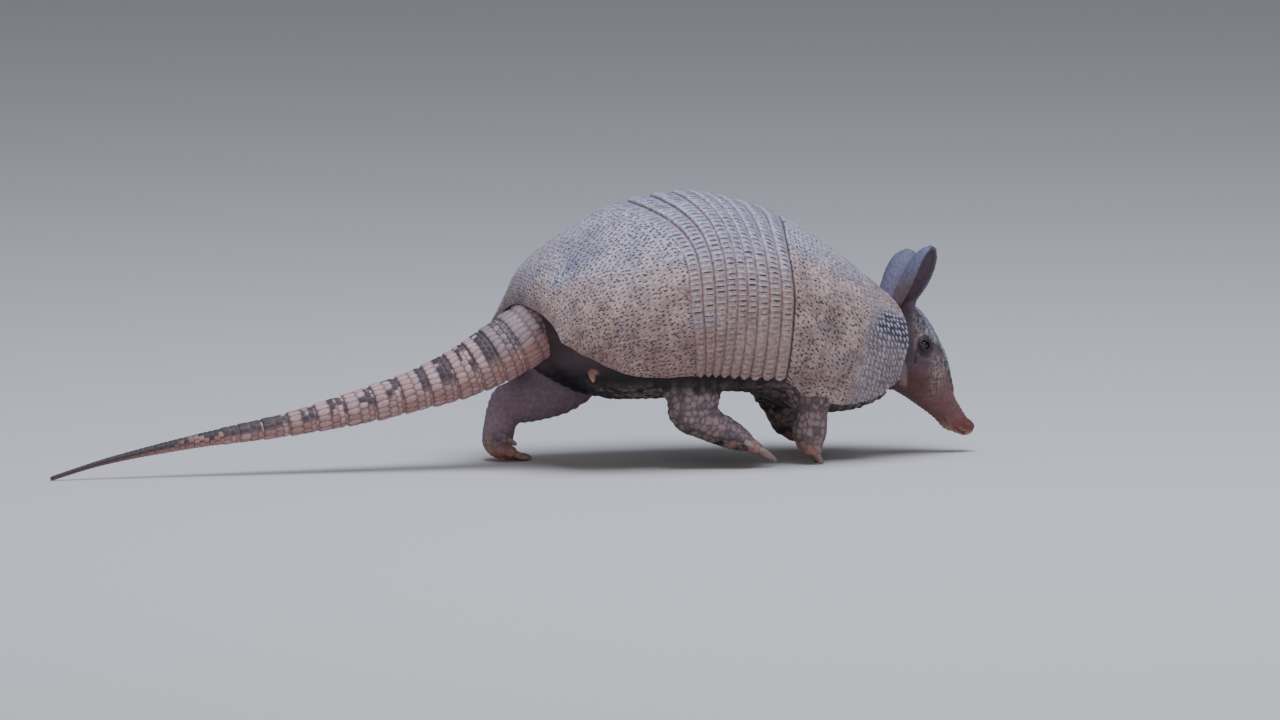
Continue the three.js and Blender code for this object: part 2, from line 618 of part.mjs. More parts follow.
for (const [name, solid] of shellPlates()) {
  armadillo.add(meshOf(name, solid, COLOURS.shell));
}
armadillo.add(meshOf('trunk', largestPiece(cutBy(trunk(), room.shell)), COLOURS.skin));
for (const name of Object.keys(LEGS)) {
  for (const [part, solid, colour] of legParts(name, room, floor)) {
    armadillo.add(meshOf(part, solid, colour));
  }
}
for (const [part, solid, colour] of [...headParts(room), ...tailParts(room, floor)]) {
  armadillo.add(meshOf(part, solid, colour, part.startsWith('eye') ? 0.15 : 0.75));
}

export default armadillo;
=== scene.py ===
# %% [markdown]
# # A nine-banded armadillo, as a museum model
# The animal walks with its nose to the ground. Its armour is a shield over the shoulders,
# nine loose bands, a shield over the hips, rings on the tail and a plate on the forehead.
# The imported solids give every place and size. This script builds the surfaces over them:
# the shell from fine grids that follow the same sections, and the flesh as one skin.

# %% Load the frame
import math
from itertools import product
import bpy
import numpy as np
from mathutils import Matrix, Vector
from mathutils.bvhtree import BVHTree


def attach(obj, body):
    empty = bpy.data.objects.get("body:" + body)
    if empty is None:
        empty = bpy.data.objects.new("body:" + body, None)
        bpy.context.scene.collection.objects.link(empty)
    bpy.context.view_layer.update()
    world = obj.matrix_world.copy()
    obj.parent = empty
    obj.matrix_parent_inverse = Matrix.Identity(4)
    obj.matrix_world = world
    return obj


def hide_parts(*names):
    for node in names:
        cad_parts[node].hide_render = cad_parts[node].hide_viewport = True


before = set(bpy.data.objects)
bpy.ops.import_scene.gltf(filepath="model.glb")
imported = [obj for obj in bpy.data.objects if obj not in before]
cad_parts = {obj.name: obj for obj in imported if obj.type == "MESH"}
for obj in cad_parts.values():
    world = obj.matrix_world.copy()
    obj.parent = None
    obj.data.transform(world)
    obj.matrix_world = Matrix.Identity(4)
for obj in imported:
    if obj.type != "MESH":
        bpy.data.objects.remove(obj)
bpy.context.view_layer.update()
MM = 0.001
FOOTPRINT_CENTRE = np.array([-90.1, 0.0, 0.0])  # the part's origin, in the shell's millimetres
print("solids in the frame:", len(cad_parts))

# %% [markdown]
# ## The camera
# A wild animal is pictured from far off through a long lens, which flattens it. The camera
# stands low and a little behind the animal's right shoulder, so the flank fills the view.
# It could be placed by eye, but two angles, a distance and a scale say it exactly.

# %% Camera
CAMERA_AZIMUTH = math.radians(-18)
CAMERA_ELEVATION = math.radians(6)
CAMERA_DISTANCE = 15.0
FRAME_WIDTH = 1280 * 0.70 * MM  # the image's width at the animal, in metres
AIM = Vector((0.0924, 0.0072, 0.0717))

camera_data = bpy.data.cameras.new("long_lens")
camera = bpy.data.objects.new("camera", camera_data)
bpy.context.scene.collection.objects.link(camera)
camera_way = Vector((
    math.sin(CAMERA_AZIMUTH) * math.cos(CAMERA_ELEVATION),
    -math.cos(CAMERA_AZIMUTH) * math.cos(CAMERA_ELEVATION),
    math.sin(CAMERA_ELEVATION),
))
camera.location = AIM + camera_way * CAMERA_DISTANCE
camera.rotation_euler = (-camera_way).to_track_quat("-Z", "Y").to_euler()
camera_data.sensor_width = 36
camera_data.lens = camera_data.sensor_width * CAMERA_DISTANCE / FRAME_WIDTH
camera_data.clip_end = 200
bpy.context.scene.camera = camera
print("lens:", round(camera_data.lens), "mm")

# %% [markdown]
# ## Floor and light
# A museum animal is shown on a plain pale floor under soft light. One wide lamp overhead
# stands for an open sky, a weaker one in front lifts the shaded side, and the surroundings
# give an even grey. Hard lamps would make sharp shadows that hide the shell's fine relief.

# %% Colour helper
def linear(code, alpha=1.0):
    """A colour code such as #a08c7c in the linear values that Blender's sockets take."""
    parts = [int(code[i:i + 2], 16) / 255 for i in (1, 3, 5)]
    return (*[v / 12.92 if v <= 0.04045 else ((v + 0.055) / 1.055) ** 2.4 for v in parts], alpha)


def add_node(tree, kind, links=None, **settings):
    """A node with its settings, its sockets linked or set from links {socket: source}.

    A source is a value, a socket or a node, which gives its first output. A kind without
    the word Node is a shader node."""
    made = tree.nodes.new(kind if "Node" in kind else "ShaderNode" + kind)
    for name, value in settings.items():
        setattr(made, name, value)
    for socket, source in (links or {}).items():
        if isinstance(source, bpy.types.Node):
            source = source.outputs[0]
        if isinstance(source, bpy.types.NodeSocket):
            tree.links.new(source, made.inputs[socket])
        else:
            made.inputs[socket].default_value = source
    return made


# %% Floor and lamps
FLOOR_SIZE = 90.0

floor_mesh = bpy.data.meshes.new("floor")
corner = FLOOR_SIZE / 2
floor_mesh.from_pydata(
    [(-corner, -corner, 0), (corner, -corner, 0), (corner, corner, 0), (-corner, corner, 0)],
    [],
    [(0, 1, 2, 3)],
)
floor = bpy.data.objects.new("floor", floor_mesh)
bpy.context.scene.collection.objects.link(floor)
floor_paint = bpy.data.materials.new("matt_floor_paint")
floor_paint.use_nodes = True
floor_paint.node_tree.nodes["Principled BSDF"].inputs["Base Color"].default_value = linear("#c9c7c2")
floor_paint.node_tree.nodes["Principled BSDF"].inputs["Roughness"].default_value = 0.9
floor_mesh.materials.append(floor_paint)


def area_lamp(name, place, size, power, tint):
    """A square soft lamp at place, facing the animal."""
    data = bpy.data.lights.new(name, "AREA")
    data.size = size
    data.energy = power
    data.color = linear(tint)[:3]
    lamp = bpy.data.objects.new(name, data)
    lamp.location = place
    way = Vector((0.09, 0, 0.08)) - Vector(place)
    lamp.rotation_euler = way.to_track_quat("-Z", "Y").to_euler()
    bpy.context.scene.collection.objects.link(lamp)
    return lamp


area_lamp("sky_lamp", (0.25, -0.6, 2.6), 1.8, 104, "#dfe7ff")
area_lamp("front_lamp", (-0.6, -2.6, 0.9), 1.6, 13, "#fff0e8")

world = bpy.data.worlds.new("studio")
world.use_nodes = True
world.node_tree.nodes["Background"].inputs["Color"].default_value = linear("#d6dbe8")
world.node_tree.nodes["Background"].inputs["Strength"].default_value = 0.3
bpy.context.scene.world = world
print("lamps: 2")

# %% [markdown]
# ## Numbers that vary smoothly
# Nothing on an animal is straight or exactly repeated. Two helpers supply that: a smooth
# curve through a few measured rows, and noise that is worked out from the place itself, so
# that it comes out the same each time the script runs.

# %% Curves and noise
def smooth(rows, s):
    """The row at place s on a smooth curve through the rows."""
    rows = np.asarray(rows, float)
    s = np.asarray(s, float)
    last = len(rows) - 1
    i = np.clip(np.floor(s).astype(int), 0, last - 1)
    f = s - i
    padded = np.concatenate([[2 * rows[0] - rows[1]], rows, [2 * rows[-1] - rows[-2]]])
    if rows.ndim > 1:
        f = f[..., None]
    p0, p1, p2, p3 = (padded[i + k] for k in range(4))
    m1, m2 = (p2 - p0) / 2, (p3 - p1) / 2
    return (p1 * (2 * f**3 - 3 * f**2 + 1) + m1 * (f**3 - 2 * f**2 + f)
            + p2 * (3 * f**2 - 2 * f**3) + m2 * (f**3 - f**2))


def ramp(value, low, high):
    """0 below low, 1 above high, and an easy slope between."""
    t = np.clip((np.asarray(value, float) - low) / (high - low), 0, 1)
    return t * t * (3 - 2 * t)


def mixed(a, b, share):
    """a where share is 0 and b where it is 1."""
    return a + (b - a) * share


def random_of(cells, seed, count=1):
    """count repeatable random numbers, 0 to 1, for each whole-number cell."""
    cells = cells.astype(np.int64)
    mixed_up = (cells[..., 0] * 374761393 + cells[..., 1] * 668265263
                + cells[..., 2] * 2147483647 + seed * 974711)
    out = []
    for k in range(count):
        h = (mixed_up + k * 69069123) & 0xFFFFFFFF
        h = ((h ^ (h >> 13)) * 1274126177) & 0xFFFFFFFF
        h = ((h ^ (h >> 15)) * 2246822519) & 0xFFFFFFFF
        out.append(((h ^ (h >> 16)) & 0xFFFFFF) / 0xFFFFFF)
    return np.stack(out, -1)


def soft_noise(spots, size, seed):
    """Smooth noise, -1 to 1, whose lumps are about size across."""
    q = np.asarray(spots, float) / size
    base = np.floor(q).astype(np.int64)
    f = q - base
    f = f * f * (3 - 2 * f)
    total = np.zeros(len(q))
    for corner in product((0, 1), repeat=3):
        weight = np.prod(np.where(corner, f, 1 - f), axis=1)
        total += weight * random_of(base + corner, seed)[:, 0]
    return 2 * total - 1


def scale_cells(spots, size, seed):
    """Scales as cells: distance to the cell's middle, to its edge, and the cell's own number."""
    q = np.asarray(spots, float) / size
    base = np.floor(q).astype(np.int64)
    first = np.full(len(q), 9.0)
    second = first.copy()
    own = np.zeros(len(q))
    for step in product((-1, 0, 1), repeat=3):
        cell = base + step
        dice = random_of(cell, seed, 4)
        away = np.linalg.norm(q - cell - 0.15 - 0.7 * dice[:, :3], axis=1)
        closer = away < first
        second = np.where(closer, first, np.minimum(second, away))
        own = np.where(closer, dice[:, 3], own)
        first = np.where(closer, away, first)
    return first * size, (second - first) * size, own


print("noise ready")

# %% [markdown]
# ## Meshes from grids of points
# A surface that is described by a formula needs no modelling by hand: a grid of points is
# placed by the formula and joined into faces. Arrays keep hundreds of thousands of points
# quick. The helper below turns such arrays into one Blender object at the origin.

# %% Mesh helper
def new_piece(name, spots, faces, finish, values=None, maps=None):
    """An object from points in the shell's millimetres and arrays of faces.

    values are numbers for each point, kept as attributes; maps are UV maps for each point."""
    mesh = bpy.data.meshes.new(name)
    mesh.vertices.add(len(spots))
    mesh.vertices.foreach_set("co", ((spots - FOOTPRINT_CENTRE) * MM).astype(np.float32).ravel())
    corners = np.concatenate([part.ravel() for part in faces]).astype(np.int32)
    sizes = np.concatenate([np.full(len(part), part.shape[1]) for part in faces])
    mesh.loops.add(len(corners))
    mesh.loops.foreach_set("vertex_index", corners)
    mesh.polygons.add(len(sizes))
    starts = np.concatenate([[0], np.cumsum(sizes)[:-1]]).astype(np.int32)
    mesh.polygons.foreach_set("loop_start", starts)
    mesh.polygons.foreach_set("use_smooth", np.ones(len(sizes), bool))
    mesh.update(calc_edges=True)
    for key, numbers in (values or {}).items():
        numbers = np.asarray(numbers, np.float32)
        if numbers.ndim == 2:
            layer = mesh.color_attributes.new(key, "FLOAT_COLOR", "POINT")
            rgba = np.concatenate([numbers, np.ones((len(numbers), 1), np.float32)], 1)
            layer.data.foreach_set("color", rgba.ravel())
        else:
            layer = mesh.attributes.new(key, "FLOAT", "POINT")
            layer.data.foreach_set("value", numbers)
    for key, places in (maps or {}).items():
        layer = mesh.uv_layers.new(name=key)
        layer.data.foreach_set("uv", np.asarray(places, np.float32)[corners].ravel())
    mesh.materials.append(finish)
    mesh.validate()
    piece = bpy.data.objects.new(name, mesh)
    bpy.context.scene.collection.objects.link(piece)
    return piece


def grid_faces(rows, columns, first=0, closed=False):
    """Faces of a grid of points, rows by columns; a closed grid joins its last column to its first."""
    across = columns if closed else columns - 1
    i, j = np.meshgrid(np.arange(rows - 1), np.arange(across), indexing="ij")
    i, j = i.ravel(), j.ravel()
    k = (j + 1) % columns
    return first + np.stack([i * columns + j, i * columns + k, (i + 1) * columns + k,
                             (i + 1) * columns + j], 1)


def end_fans(count, columns):
    """Faces that close both ends of a closed grid of count points, with the next two points."""
    loop = np.arange(columns)
    last = count - columns + loop
    return [np.stack([np.roll(loop, -1), loop, np.full(columns, count)], 1),
            np.stack([last, np.roll(last, -1), np.full(columns, count + 1)], 1)]


def declare(piece, slot_name, *node_names):
    """Parents a finished piece to the root, hides the solids it stands for and prints its triangles.
    slot_name is not used.
    """
    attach(piece, "root")
    if node_names:
        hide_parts(*node_names)
    faces = sum(len(p.vertices) - 2 for p in piece.data.polygons)
    print(piece.name, faces, "triangles")


# %% [markdown]
# ## The shell's form
# The carapace is described as the solids describe it: sections from the arch over the tail
# to the neck opening, each with a point on the ridge, the flank and the lower edge. Any
# place on it has two numbers, s along the body and a across it from one edge to the other.

# %% Shell sections
# ridge x z, flank x y z, edge x y z, belly z, from the tail arch to the neck opening
BODY_SECTIONS = [
    [-89, 114, -85, 55.5, 93, -81, 55, 90.5, 76],
    [-90.5, 125, -79.5, 60.5, 97, -73, 59.5, 85, 70],
    [-85.8, 137.5, -70, 66.5, 101.5, -61, 62, 79.5, 62],
    [-75, 149, -56, 71.5, 106.5, -47.5, 63.3, 73.5, 54],
    [-57, 161.6, -38, 75, 110.5, -31, 63, 68, 47.5],
    [-39, 172.5, -12.5, 76, 114, -4.5, 61.8, 65, 46.5],
    [-20, 181.3, 13.4, 76, 117, 22, 60.5, 65.8, 47],
    [26.5, 189.3, 40.4, 76, 119, 39.4, 60.3, 65, 49],
    [58.9, 185.4, 62.8, 76, 119.5, 61.4, 60, 62.4, 50],
    [99.4, 172.4, 89.4, 74.5, 118, 87.2, 59.5, 60, 46],
    [120, 161.5, 109, 71, 112.5, 104, 52, 48.5, 37],
    [141, 146.6, 129, 65, 105.5, 124, 45.5, 41.8, 33],
    [158.5, 133.2, 149, 57, 97.5, 143, 41.5, 40.5, 32.5],
    [171, 122.4, 168, 49, 89, 162, 40, 45, 36],
    [179.5, 115, 184.5, 42.5, 80, 177.5, 41, 56, 43],
]
BANDS_REAR = 6  # section numbers where the bands begin and end
BANDS_FRONT = 9
NECK_OPENING = 14
BAND_COUNT = 9
FLANK_SHARE = 0.63  # share of the way from ridge to edge where the flank is widest
TUCK_ANGLE = math.radians(60)
HIP_TURN = 0.15  # the striding hips swing round
SHELL_THICKNESS = 3.0


def shell_point(s, a):
    """Points of the shell's face at places s along and a across."""
    s, a = np.broadcast_arrays(np.asarray(s, float), np.asarray(a, float))
    row = smooth(BODY_SECTIONS, s)
    share = np.abs(a)
    side = np.sign(a)
    rise = np.clip(np.cos(np.pi / 2 * np.minimum(share / FLANK_SHARE, 1)), 0, 1)
    sharpness = 1.02 + 0.5 * np.clip(1 - s / 2, 0, None)
    turn = TUCK_ANGLE * np.clip((share - FLANK_SHARE) / (1 - FLANK_SHARE), 0, None)
    drop = np.sin(turn) / math.sin(TUCK_ANGLE)
    tuck = (1 - np.cos(turn)) / (1 - math.cos(TUCK_ANGLE))
    above = share <= FLANK_SHARE
    x = row[..., 2] + np.where(above, (row[..., 0] - row[..., 2]) * rise**5,
                               (row[..., 5] - row[..., 2]) * drop)
    half = np.where(above, row[..., 3] * np.sqrt(1 - rise**2),
                    row[..., 3] + (row[..., 6] - row[..., 3]) * tuck)
    z = row[..., 4] + np.where(above, (row[..., 1] - row[..., 4]) * rise**sharpness,
                               (row[..., 7] - row[..., 4]) * drop)
    y = side * half
    x = x - HIP_TURN * np.clip(1 - s / BANDS_REAR, 0, None) * y
    return np.stack([x, y, z], -1)


def shell_normal(s, a):
    """The outward direction of the shell's face."""
    step = 0.02
    along = shell_point(s + step, a) - shell_point(s - step, a)
    around = shell_point(s, a + step) - shell_point(s, a - step)
    normal = np.cross(along, around)
    return normal / np.linalg.norm(normal, axis=-1, keepdims=True)


def distance_across(s_values, a_values):
    """How far each place lies from the ridge, measured over the shell, in millimetres."""
    fine = np.linspace(-1.02, 1.02, 409)
    spots = shell_point(s_values[:, None], fine[None, :])
    steps = np.linalg.norm(np.diff(spots, axis=1), axis=2)
    run = np.concatenate([np.zeros((len(s_values), 1)), np.cumsum(steps, 1)], 1)
    run = run - run[:, [204]]
    return np.stack([np.interp(a_values, fine, line) for line in run])


print("half girth at the bands:", round(float(distance_across(np.array([7.5]), np.array([1.0]))[0, 0])), "mm")

# %% [markdown]
# ## Finishes of the shell
# Armadillo armour is bone under thin horn: matt, dusty, pinkish tan, with small dark pits
# round each scute where hairs grow, and patches of blue-grey pigment over the back, paled
# further towards the top as a painted sky reflection. A painted image could show it, but
# here each pattern is worked out from the scute's own place: a UV map counts scutes along
# and across, so pits and seams fall exactly between the raised scutes.

# %% Shield finish
def new_finish(name):
    """An empty node material: its tree and its principled shader."""
    material = bpy.data.materials.new(name)
    material.use_nodes = True
    return material, material.node_tree, material.node_tree.nodes["Principled BSDF"]


TAN_HORN = "#8f776f"
PALE_HORN = "#baa297"
DUST = "#80564a"
BLUE_GREY = "#b0aebf"
DARK_PIGMENT = "#4b4d60"
PIT_DARK = "#232129"

shield_horn, tree, shader = new_finish("dusty_shield_horn")
shader.inputs["Specular IOR Level"].default_value = 0.42
shader.inputs["Roughness"].default_value = 0.64
shader.inputs["Sheen Weight"].default_value = 0.22
shader.inputs["Sheen Roughness"].default_value = 0.45
shader.inputs["Sheen Tint"].default_value = linear("#c4d0ee")
scute_map = add_node(tree, "UVMap", uv_map="scutes")
apart = add_node(tree, "SeparateXYZ", {0: scute_map})
row_number = add_node(tree, "Math", {0: apart.outputs["X"]}, operation="FLOOR")
odd = add_node(tree, "Math", {0: row_number, 1: 2.0}, operation="FLOORED_MODULO")
stagger = add_node(tree, "Math", {0: odd, 1: 0.5, 2: apart.outputs["Y"]}, operation="MULTIPLY_ADD")
scute_number = add_node(tree, "Math", {0: stagger}, operation="FLOOR")
along = add_node(tree, "Math", {0: apart.outputs["X"]}, operation="FRACT")
across = add_node(tree, "Math", {0: stagger}, operation="FRACT")
number = add_node(tree, "CombineXYZ", {0: row_number, 1: scute_number})
dice = add_node(tree, "TexWhiteNoise", {"Vector": number}, noise_dimensions="3D")
dice_parts = add_node(tree, "SeparateColor", {0: dice.outputs["Color"]})
# each scute's pit lies a little off its place and is a short dash along the body
off_along = add_node(tree, "Math", {0: dice_parts, 1: 0.4, 2: along}, operation="MULTIPLY_ADD")
off_across = add_node(tree, "Math", {0: dice_parts.outputs[1], 1: 0.4, 2: across},
                      operation="MULTIPLY_ADD")
from_pit = add_node(tree, "CombineXYZ", {0: off_along, 1: off_across})
to_middle = add_node(tree, "VectorMath", {0: from_pit, 1: (0.7, 0.7, 0.0)}, operation="SUBTRACT")
dash = add_node(tree, "VectorMath", {0: to_middle, 1: (3.1, 4.9, 0.0)}, operation="MULTIPLY")
reach = add_node(tree, "VectorMath", {0: dash}, operation="LENGTH")
pit = add_node(tree, "MapRange", {0: reach.outputs["Value"], 1: 0.5, 2: 1.0, 3: 1.0, 4: 0.0})
pit_size = add_node(tree, "MapRange", {0: dice_parts.outputs[2], 1: 0.05, 2: 0.55, 3: 0.0, 4: 1.0})
pigment_and_sky_reflection = add_node(tree, "Attribute", attribute_name="pigment_and_sky_reflection")
blotch = add_node(tree, "Attribute", attribute_name="blotch")
dust = add_node(tree, "Attribute", attribute_name="dust")
bead = add_node(tree, "Attribute", attribute_name="bead")
pitted = add_node(tree, "Math", {0: pigment_and_sky_reflection.outputs["Fac"], 1: 0.75, 2: pit_size},
                  operation="MULTIPLY_ADD", use_clamp=True)
more_pits = add_node(tree, "Math", {0: blotch.outputs["Fac"], 1: pitted}, operation="ADD", use_clamp=True)
no_bead = add_node(tree, "Math", {0: 1.0, 1: bead.outputs["Fac"]}, operation="SUBTRACT", use_clamp=True)
pit_here = add_node(tree, "Math", {0: pit, 1: more_pits}, operation="MULTIPLY")
pit_mask = add_node(tree, "Math", {0: pit_here, 1: no_bead}, operation="MULTIPLY")
# smaller pits between them, one for about every 2 or 3 mm, most of them dark
body_place = add_node(tree, "TexCoord")
speck_place = add_node(tree, "Mapping", {"Vector": body_place.outputs["Object"],
                       "Scale": (310.0, 460.0, 500.0), "Rotation": (0.0, 0.3, 0.0)})
speck_cells = add_node(tree, "TexVoronoi", {"Vector": speck_place, "Scale": 1.0})
speck = add_node(tree, "MapRange", {0: speck_cells.outputs["Distance"], 1: 0.18, 2: 0.4, 3: 1.0, 4: 0.0})
speck_dice = add_node(tree, "SeparateColor", {0: speck_cells.outputs["Color"]})
speck_chosen = add_node(tree, "MapRange", {0: speck_dice, 1: 0.25, 2: 0.6, 3: 0.0, 4: 1.0})
speck_here = add_node(tree, "Math", {0: speck, 1: speck_chosen}, operation="MULTIPLY")
speck_mask = add_node(tree, "Math", {0: speck_here, 1: no_bead}, operation="MULTIPLY")
# colour: two tans in soft patches, dust low down, blue-grey pigment above with a painted sky reflection on
# top, then the pits
patches = add_node(tree, "TexNoise", {"Vector": body_place.outputs["Object"], "Scale": 55.0,
                   "Detail": 5.0, "Roughness": 0.6})
patch_share = add_node(tree, "MapRange", {0: patches.outputs["Fac"], 1: 0.36, 2: 0.64, 3: 0.0, 4: 1.0})
tan = add_node(tree, "Mix", {0: patch_share, 6: linear(TAN_HORN), 7: linear(PALE_HORN)}, data_type="RGBA")
streaks_place = add_node(tree, "Mapping", {"Vector": body_place.outputs["Object"],
                         "Scale": (120.0, 300.0, 420.0)})
streaks = add_node(tree, "TexNoise", {"Vector": streaks_place, "Scale": 1.0, "Detail": 3.0,
                   "Roughness": 0.65})
dust_here = add_node(tree, "Math", {0: streaks.outputs["Fac"], 1: dust.outputs["Fac"]},
                     operation="MULTIPLY", use_clamp=True)
dusty = add_node(tree, "Mix", {0: dust_here, 6: tan.outputs[2], 7: linear(DUST)}, data_type="RGBA")
grains = add_node(tree, "TexNoise", {"Vector": body_place.outputs["Object"], "Scale": 420.0,
                  "Detail": 3.0, "Roughness": 0.7})
pigment_and_sky_reflection_edge = add_node(tree, "MapRange", {0: grains.outputs["Fac"], 1: 0.35, 2: 0.62, 3: 0.35, 4: 1.0})
pigment_and_sky_reflection_here = add_node(tree, "Math", {0: pigment_and_sky_reflection_edge, 1: pigment_and_sky_reflection.outputs["Fac"]}, operation="MULTIPLY",
                        use_clamp=True)
# blue-grey pigment, and on the top of the shell a painted sky reflection
greyed = add_node(tree, "Mix", {0: pigment_and_sky_reflection_here, 6: dusty.outputs[2], 7: linear(BLUE_GREY)},
                  data_type="RGBA")
blotch_grain = add_node(tree, "MapRange", {0: grains.outputs["Fac"], 1: 0.42, 2: 0.56, 3: 0.05, 4: 0.75})
blotch_here = add_node(tree, "Math", {0: blotch_grain, 1: blotch.outputs["Fac"]}, operation="MULTIPLY",
                       use_clamp=True)
blued = add_node(tree, "Mix", {0: blotch_here, 6: greyed.outputs[2], 7: linear(DARK_PIGMENT)},
                 data_type="RGBA")
grain_shade = add_node(tree, "MapRange", {0: grains.outputs["Fac"], 1: 0.32, 2: 0.68, 3: 0.6, 4: 1.32})
grained = add_node(tree, "Mix", {0: 1.0, 6: blued.outputs[2], 7: grain_shade}, data_type="RGBA",
                   blend_type="MULTIPLY")
# beads near the neck: pale round scutes on darker skin
ground = add_node(tree, "Attribute", attribute_name="ground")
any_pit = add_node(tree, "Math", {0: pit_mask, 1: speck_mask}, operation="MAXIMUM")
dark_share = add_node(tree, "Math", {0: any_pit, 1: ground.outputs["Fac"]}, operation="MAXIMUM")
dark_some = add_node(tree, "Math", {0: dark_share, 1: 0.93}, operation="MULTIPLY")
coloured = add_node(tree, "Mix", {0: dark_some, 6: grained.outputs[2], 7: linear(PIT_DARK)},
                    data_type="RGBA")
tree.links.new(coloured.outputs[2], shader.inputs["Base Color"])
# relief: pits sink 0.5 mm, fine horn grain stands less, dusty flanks are wrinkled
pit_depth = add_node(tree, "Math", {0: dark_share, 1: -0.5}, operation="MULTIPLY")
grain_height = add_node(tree, "Math", {0: grains.outputs["Fac"], 1: 0.35, 2: pit_depth},
                        operation="MULTIPLY_ADD")
wrinkle = add_node(tree, "Math", {0: dust_here, 1: 0.7, 2: grain_height}, operation="MULTIPLY_ADD")
bump = add_node(tree, "Bump", {"Height": wrinkle, "Strength": 0.8, "Distance": 1.0 * MM})
tree.links.new(bump.outputs[0], shader.inputs["Normal"])
print("finish:", shield_horn.name)

# %% [markdown]
# ## The two shields
# A shield is one piece of fused scutes: a smooth dome with hardly raised scutes, a thick
# rounded rim, and rows of bead-like scutes beside the neck. It could be the solid with
# bumps painted on, but the rim, the beads and the low swell of each scute are real form,
# so a fine grid is laid over the same sections and lifted point by point.

# %% Plates over the shell
RIM_ROUND = 1.4  # radius of a plate's rounded rim, in millimetres
UNDER_STEP = 8  # the hidden underside has one face for this many on top


def border_of(rows, columns):
    """The row and column of each point round the border of a grid."""
    return np.array([(0, j) for j in range(columns - 1)]
                    + [(i, columns - 1) for i in range(rows - 1)]
                    + [(rows - 1, j) for j in range(columns - 1, 0, -1)]
                    + [(i, 0) for i in range(rows - 1, 0, -1)])


def joined_to_coarse(border, fine, first, coarse_columns):
    """Faces between the points of a fine border and the border of a coarse grid under it."""
    picked = border[::UNDER_STEP] // UNDER_STEP
    coarse = first + picked[:, 0] * coarse_columns + picked[:, 1]
    return np.concatenate([fine.reshape(-1, UNDER_STEP),
                           np.roll(fine, -UNDER_STEP).reshape(-1, UNDER_STEP)[:, :1],
                           np.roll(coarse, -1)[:, None], coarse[:, None]], 1)


def plate(name, finish, s_grid, a_grid, height, values, maps):
    """A closed plate: a fine face on top, a rim round it and a coarse underside.

    s_grid and a_grid give each point's place on the shell and height its rise over it."""
    rows, columns = s_grid.shape
    normal = shell_normal(s_grid, a_grid)
    base = shell_point(s_grid, a_grid)
    top = base + normal * height[..., None]
    under = base - normal * SHELL_THICKNESS
    loop = border_of(rows, columns)
    rim_top = top[loop[:, 0], loop[:, 1]]
    rim_under = under[loop[:, 0], loop[:, 1]]
    rim_rows = [mixed(rim_top, rim_under, share) for share in (0.35, 0.8)]
    coarse = under[::UNDER_STEP, ::UNDER_STEP]
    spots = np.concatenate([top.reshape(-1, 3), *rim_rows, coarse.reshape(-1, 3)])
    count = len(loop)
    top_loop = loop[:, 0] * columns + loop[:, 1]
    first_rim = rows * columns
    rings = [top_loop] + [first_rim + k * count + np.arange(count) for k in range(2)]
    sides = []
    for upper, lower in zip(rings, rings[1:]):
        sides.append(np.stack([upper, np.roll(upper, -1), np.roll(lower, -1), lower], 1))
    first_coarse = first_rim + 2 * count
    closing = joined_to_coarse(loop, rings[-1], first_coarse, coarse.shape[1])
    faces = [
        grid_faces(rows, columns)[:, ::-1],
        *sides,
        closing,
        grid_faces(*coarse.shape[:2], first_coarse),
    ]

    def spread(numbers):
        numbers = np.asarray(numbers, float)
        flat = numbers.reshape(rows * columns, -1)
        rim = numbers[loop[:, 0], loop[:, 1]].reshape(count, -1)
        below = numbers[::UNDER_STEP, ::UNDER_STEP].reshape(-1, flat.shape[1])
        joined = np.concatenate([flat, rim, rim, below])
        return joined[:, 0] if joined.shape[1] == 1 else joined

    return new_piece(name, spots, faces, finish, {k: spread(v) for k, v in values.items()},
                     {k: spread(v) for k, v in maps.items()})


def rounded_rim(distance, radius=RIM_ROUND):
    """How far a rim's face drops, at each distance in from the edge."""
    inside = np.clip(1 - distance / radius, 0, 1)
    return radius * (1 - np.sqrt(np.clip(1 - inside**2, 0, 1)))


def shell_marks(spots):
    """Pale blue-grey above (pigment patches, and a painted sky reflection growing with height), dark
    blotches, and red-brown dust low down, at points of the shell.
    """
    flat = spots.reshape(-1, 3)
    height = flat[:, 2]
    broad = soft_noise(flat, 34, 5)
    middle = soft_noise(flat, 12, 6)
    fine = soft_noise(flat, 5, 7)
    # painted reflection: the shell is paled to blue-grey towards its top, standing for the sky's reflection
    grey = 0.9 * ramp(height + 16 * broad, 118, 168)
    grey += 0.4 * ramp(0.6 * middle + 0.6 * broad, 0.25, 0.8) * ramp(height, 60, 110)
    blotch = 0.35 * ramp(middle + 0.6 * fine, 0.35, 1.1) * ramp(height, 70, 130)
    for x, y, z, reach, strength in DARK_BLOTCHES:
        away = np.linalg.norm((flat - [x, y, z]) * [1, 1, 1.1], axis=1)
        blotch += strength * ramp(-away + 6 * middle + 4 * fine, -reach, -0.35 * reach)
    dust = 0.9 * ramp(-height + 16 * broad, -112, -72) * ramp(-flat[:, 0], -110, -20)
    dust += 0.3 * ramp(-height + 12 * middle, -90, -55)
    shape = spots.shape[:-1]
    return [np.clip(numbers, 0, 1).reshape(shape) for numbers in (grey, blotch, dust)]


# middle x y z, reach and strength of the darkest patches of pigment
DARK_BLOTCHES = [
    [-46, -28, 148, 26, 0.8], [-20, -44, 150, 20, 0.5], [-62, -48, 118, 12, 0.3],
    [118, -66, 96, 11, 0.7], [133, -60, 76, 12, 0.9], [150, -40, 118, 16, 0.5],
    [-38, 40, 146, 24, 0.7], [122, 66, 92, 13, 0.8], [140, 50, 112, 14, 0.5], [-66, 56, 110, 16, 0.5],
]


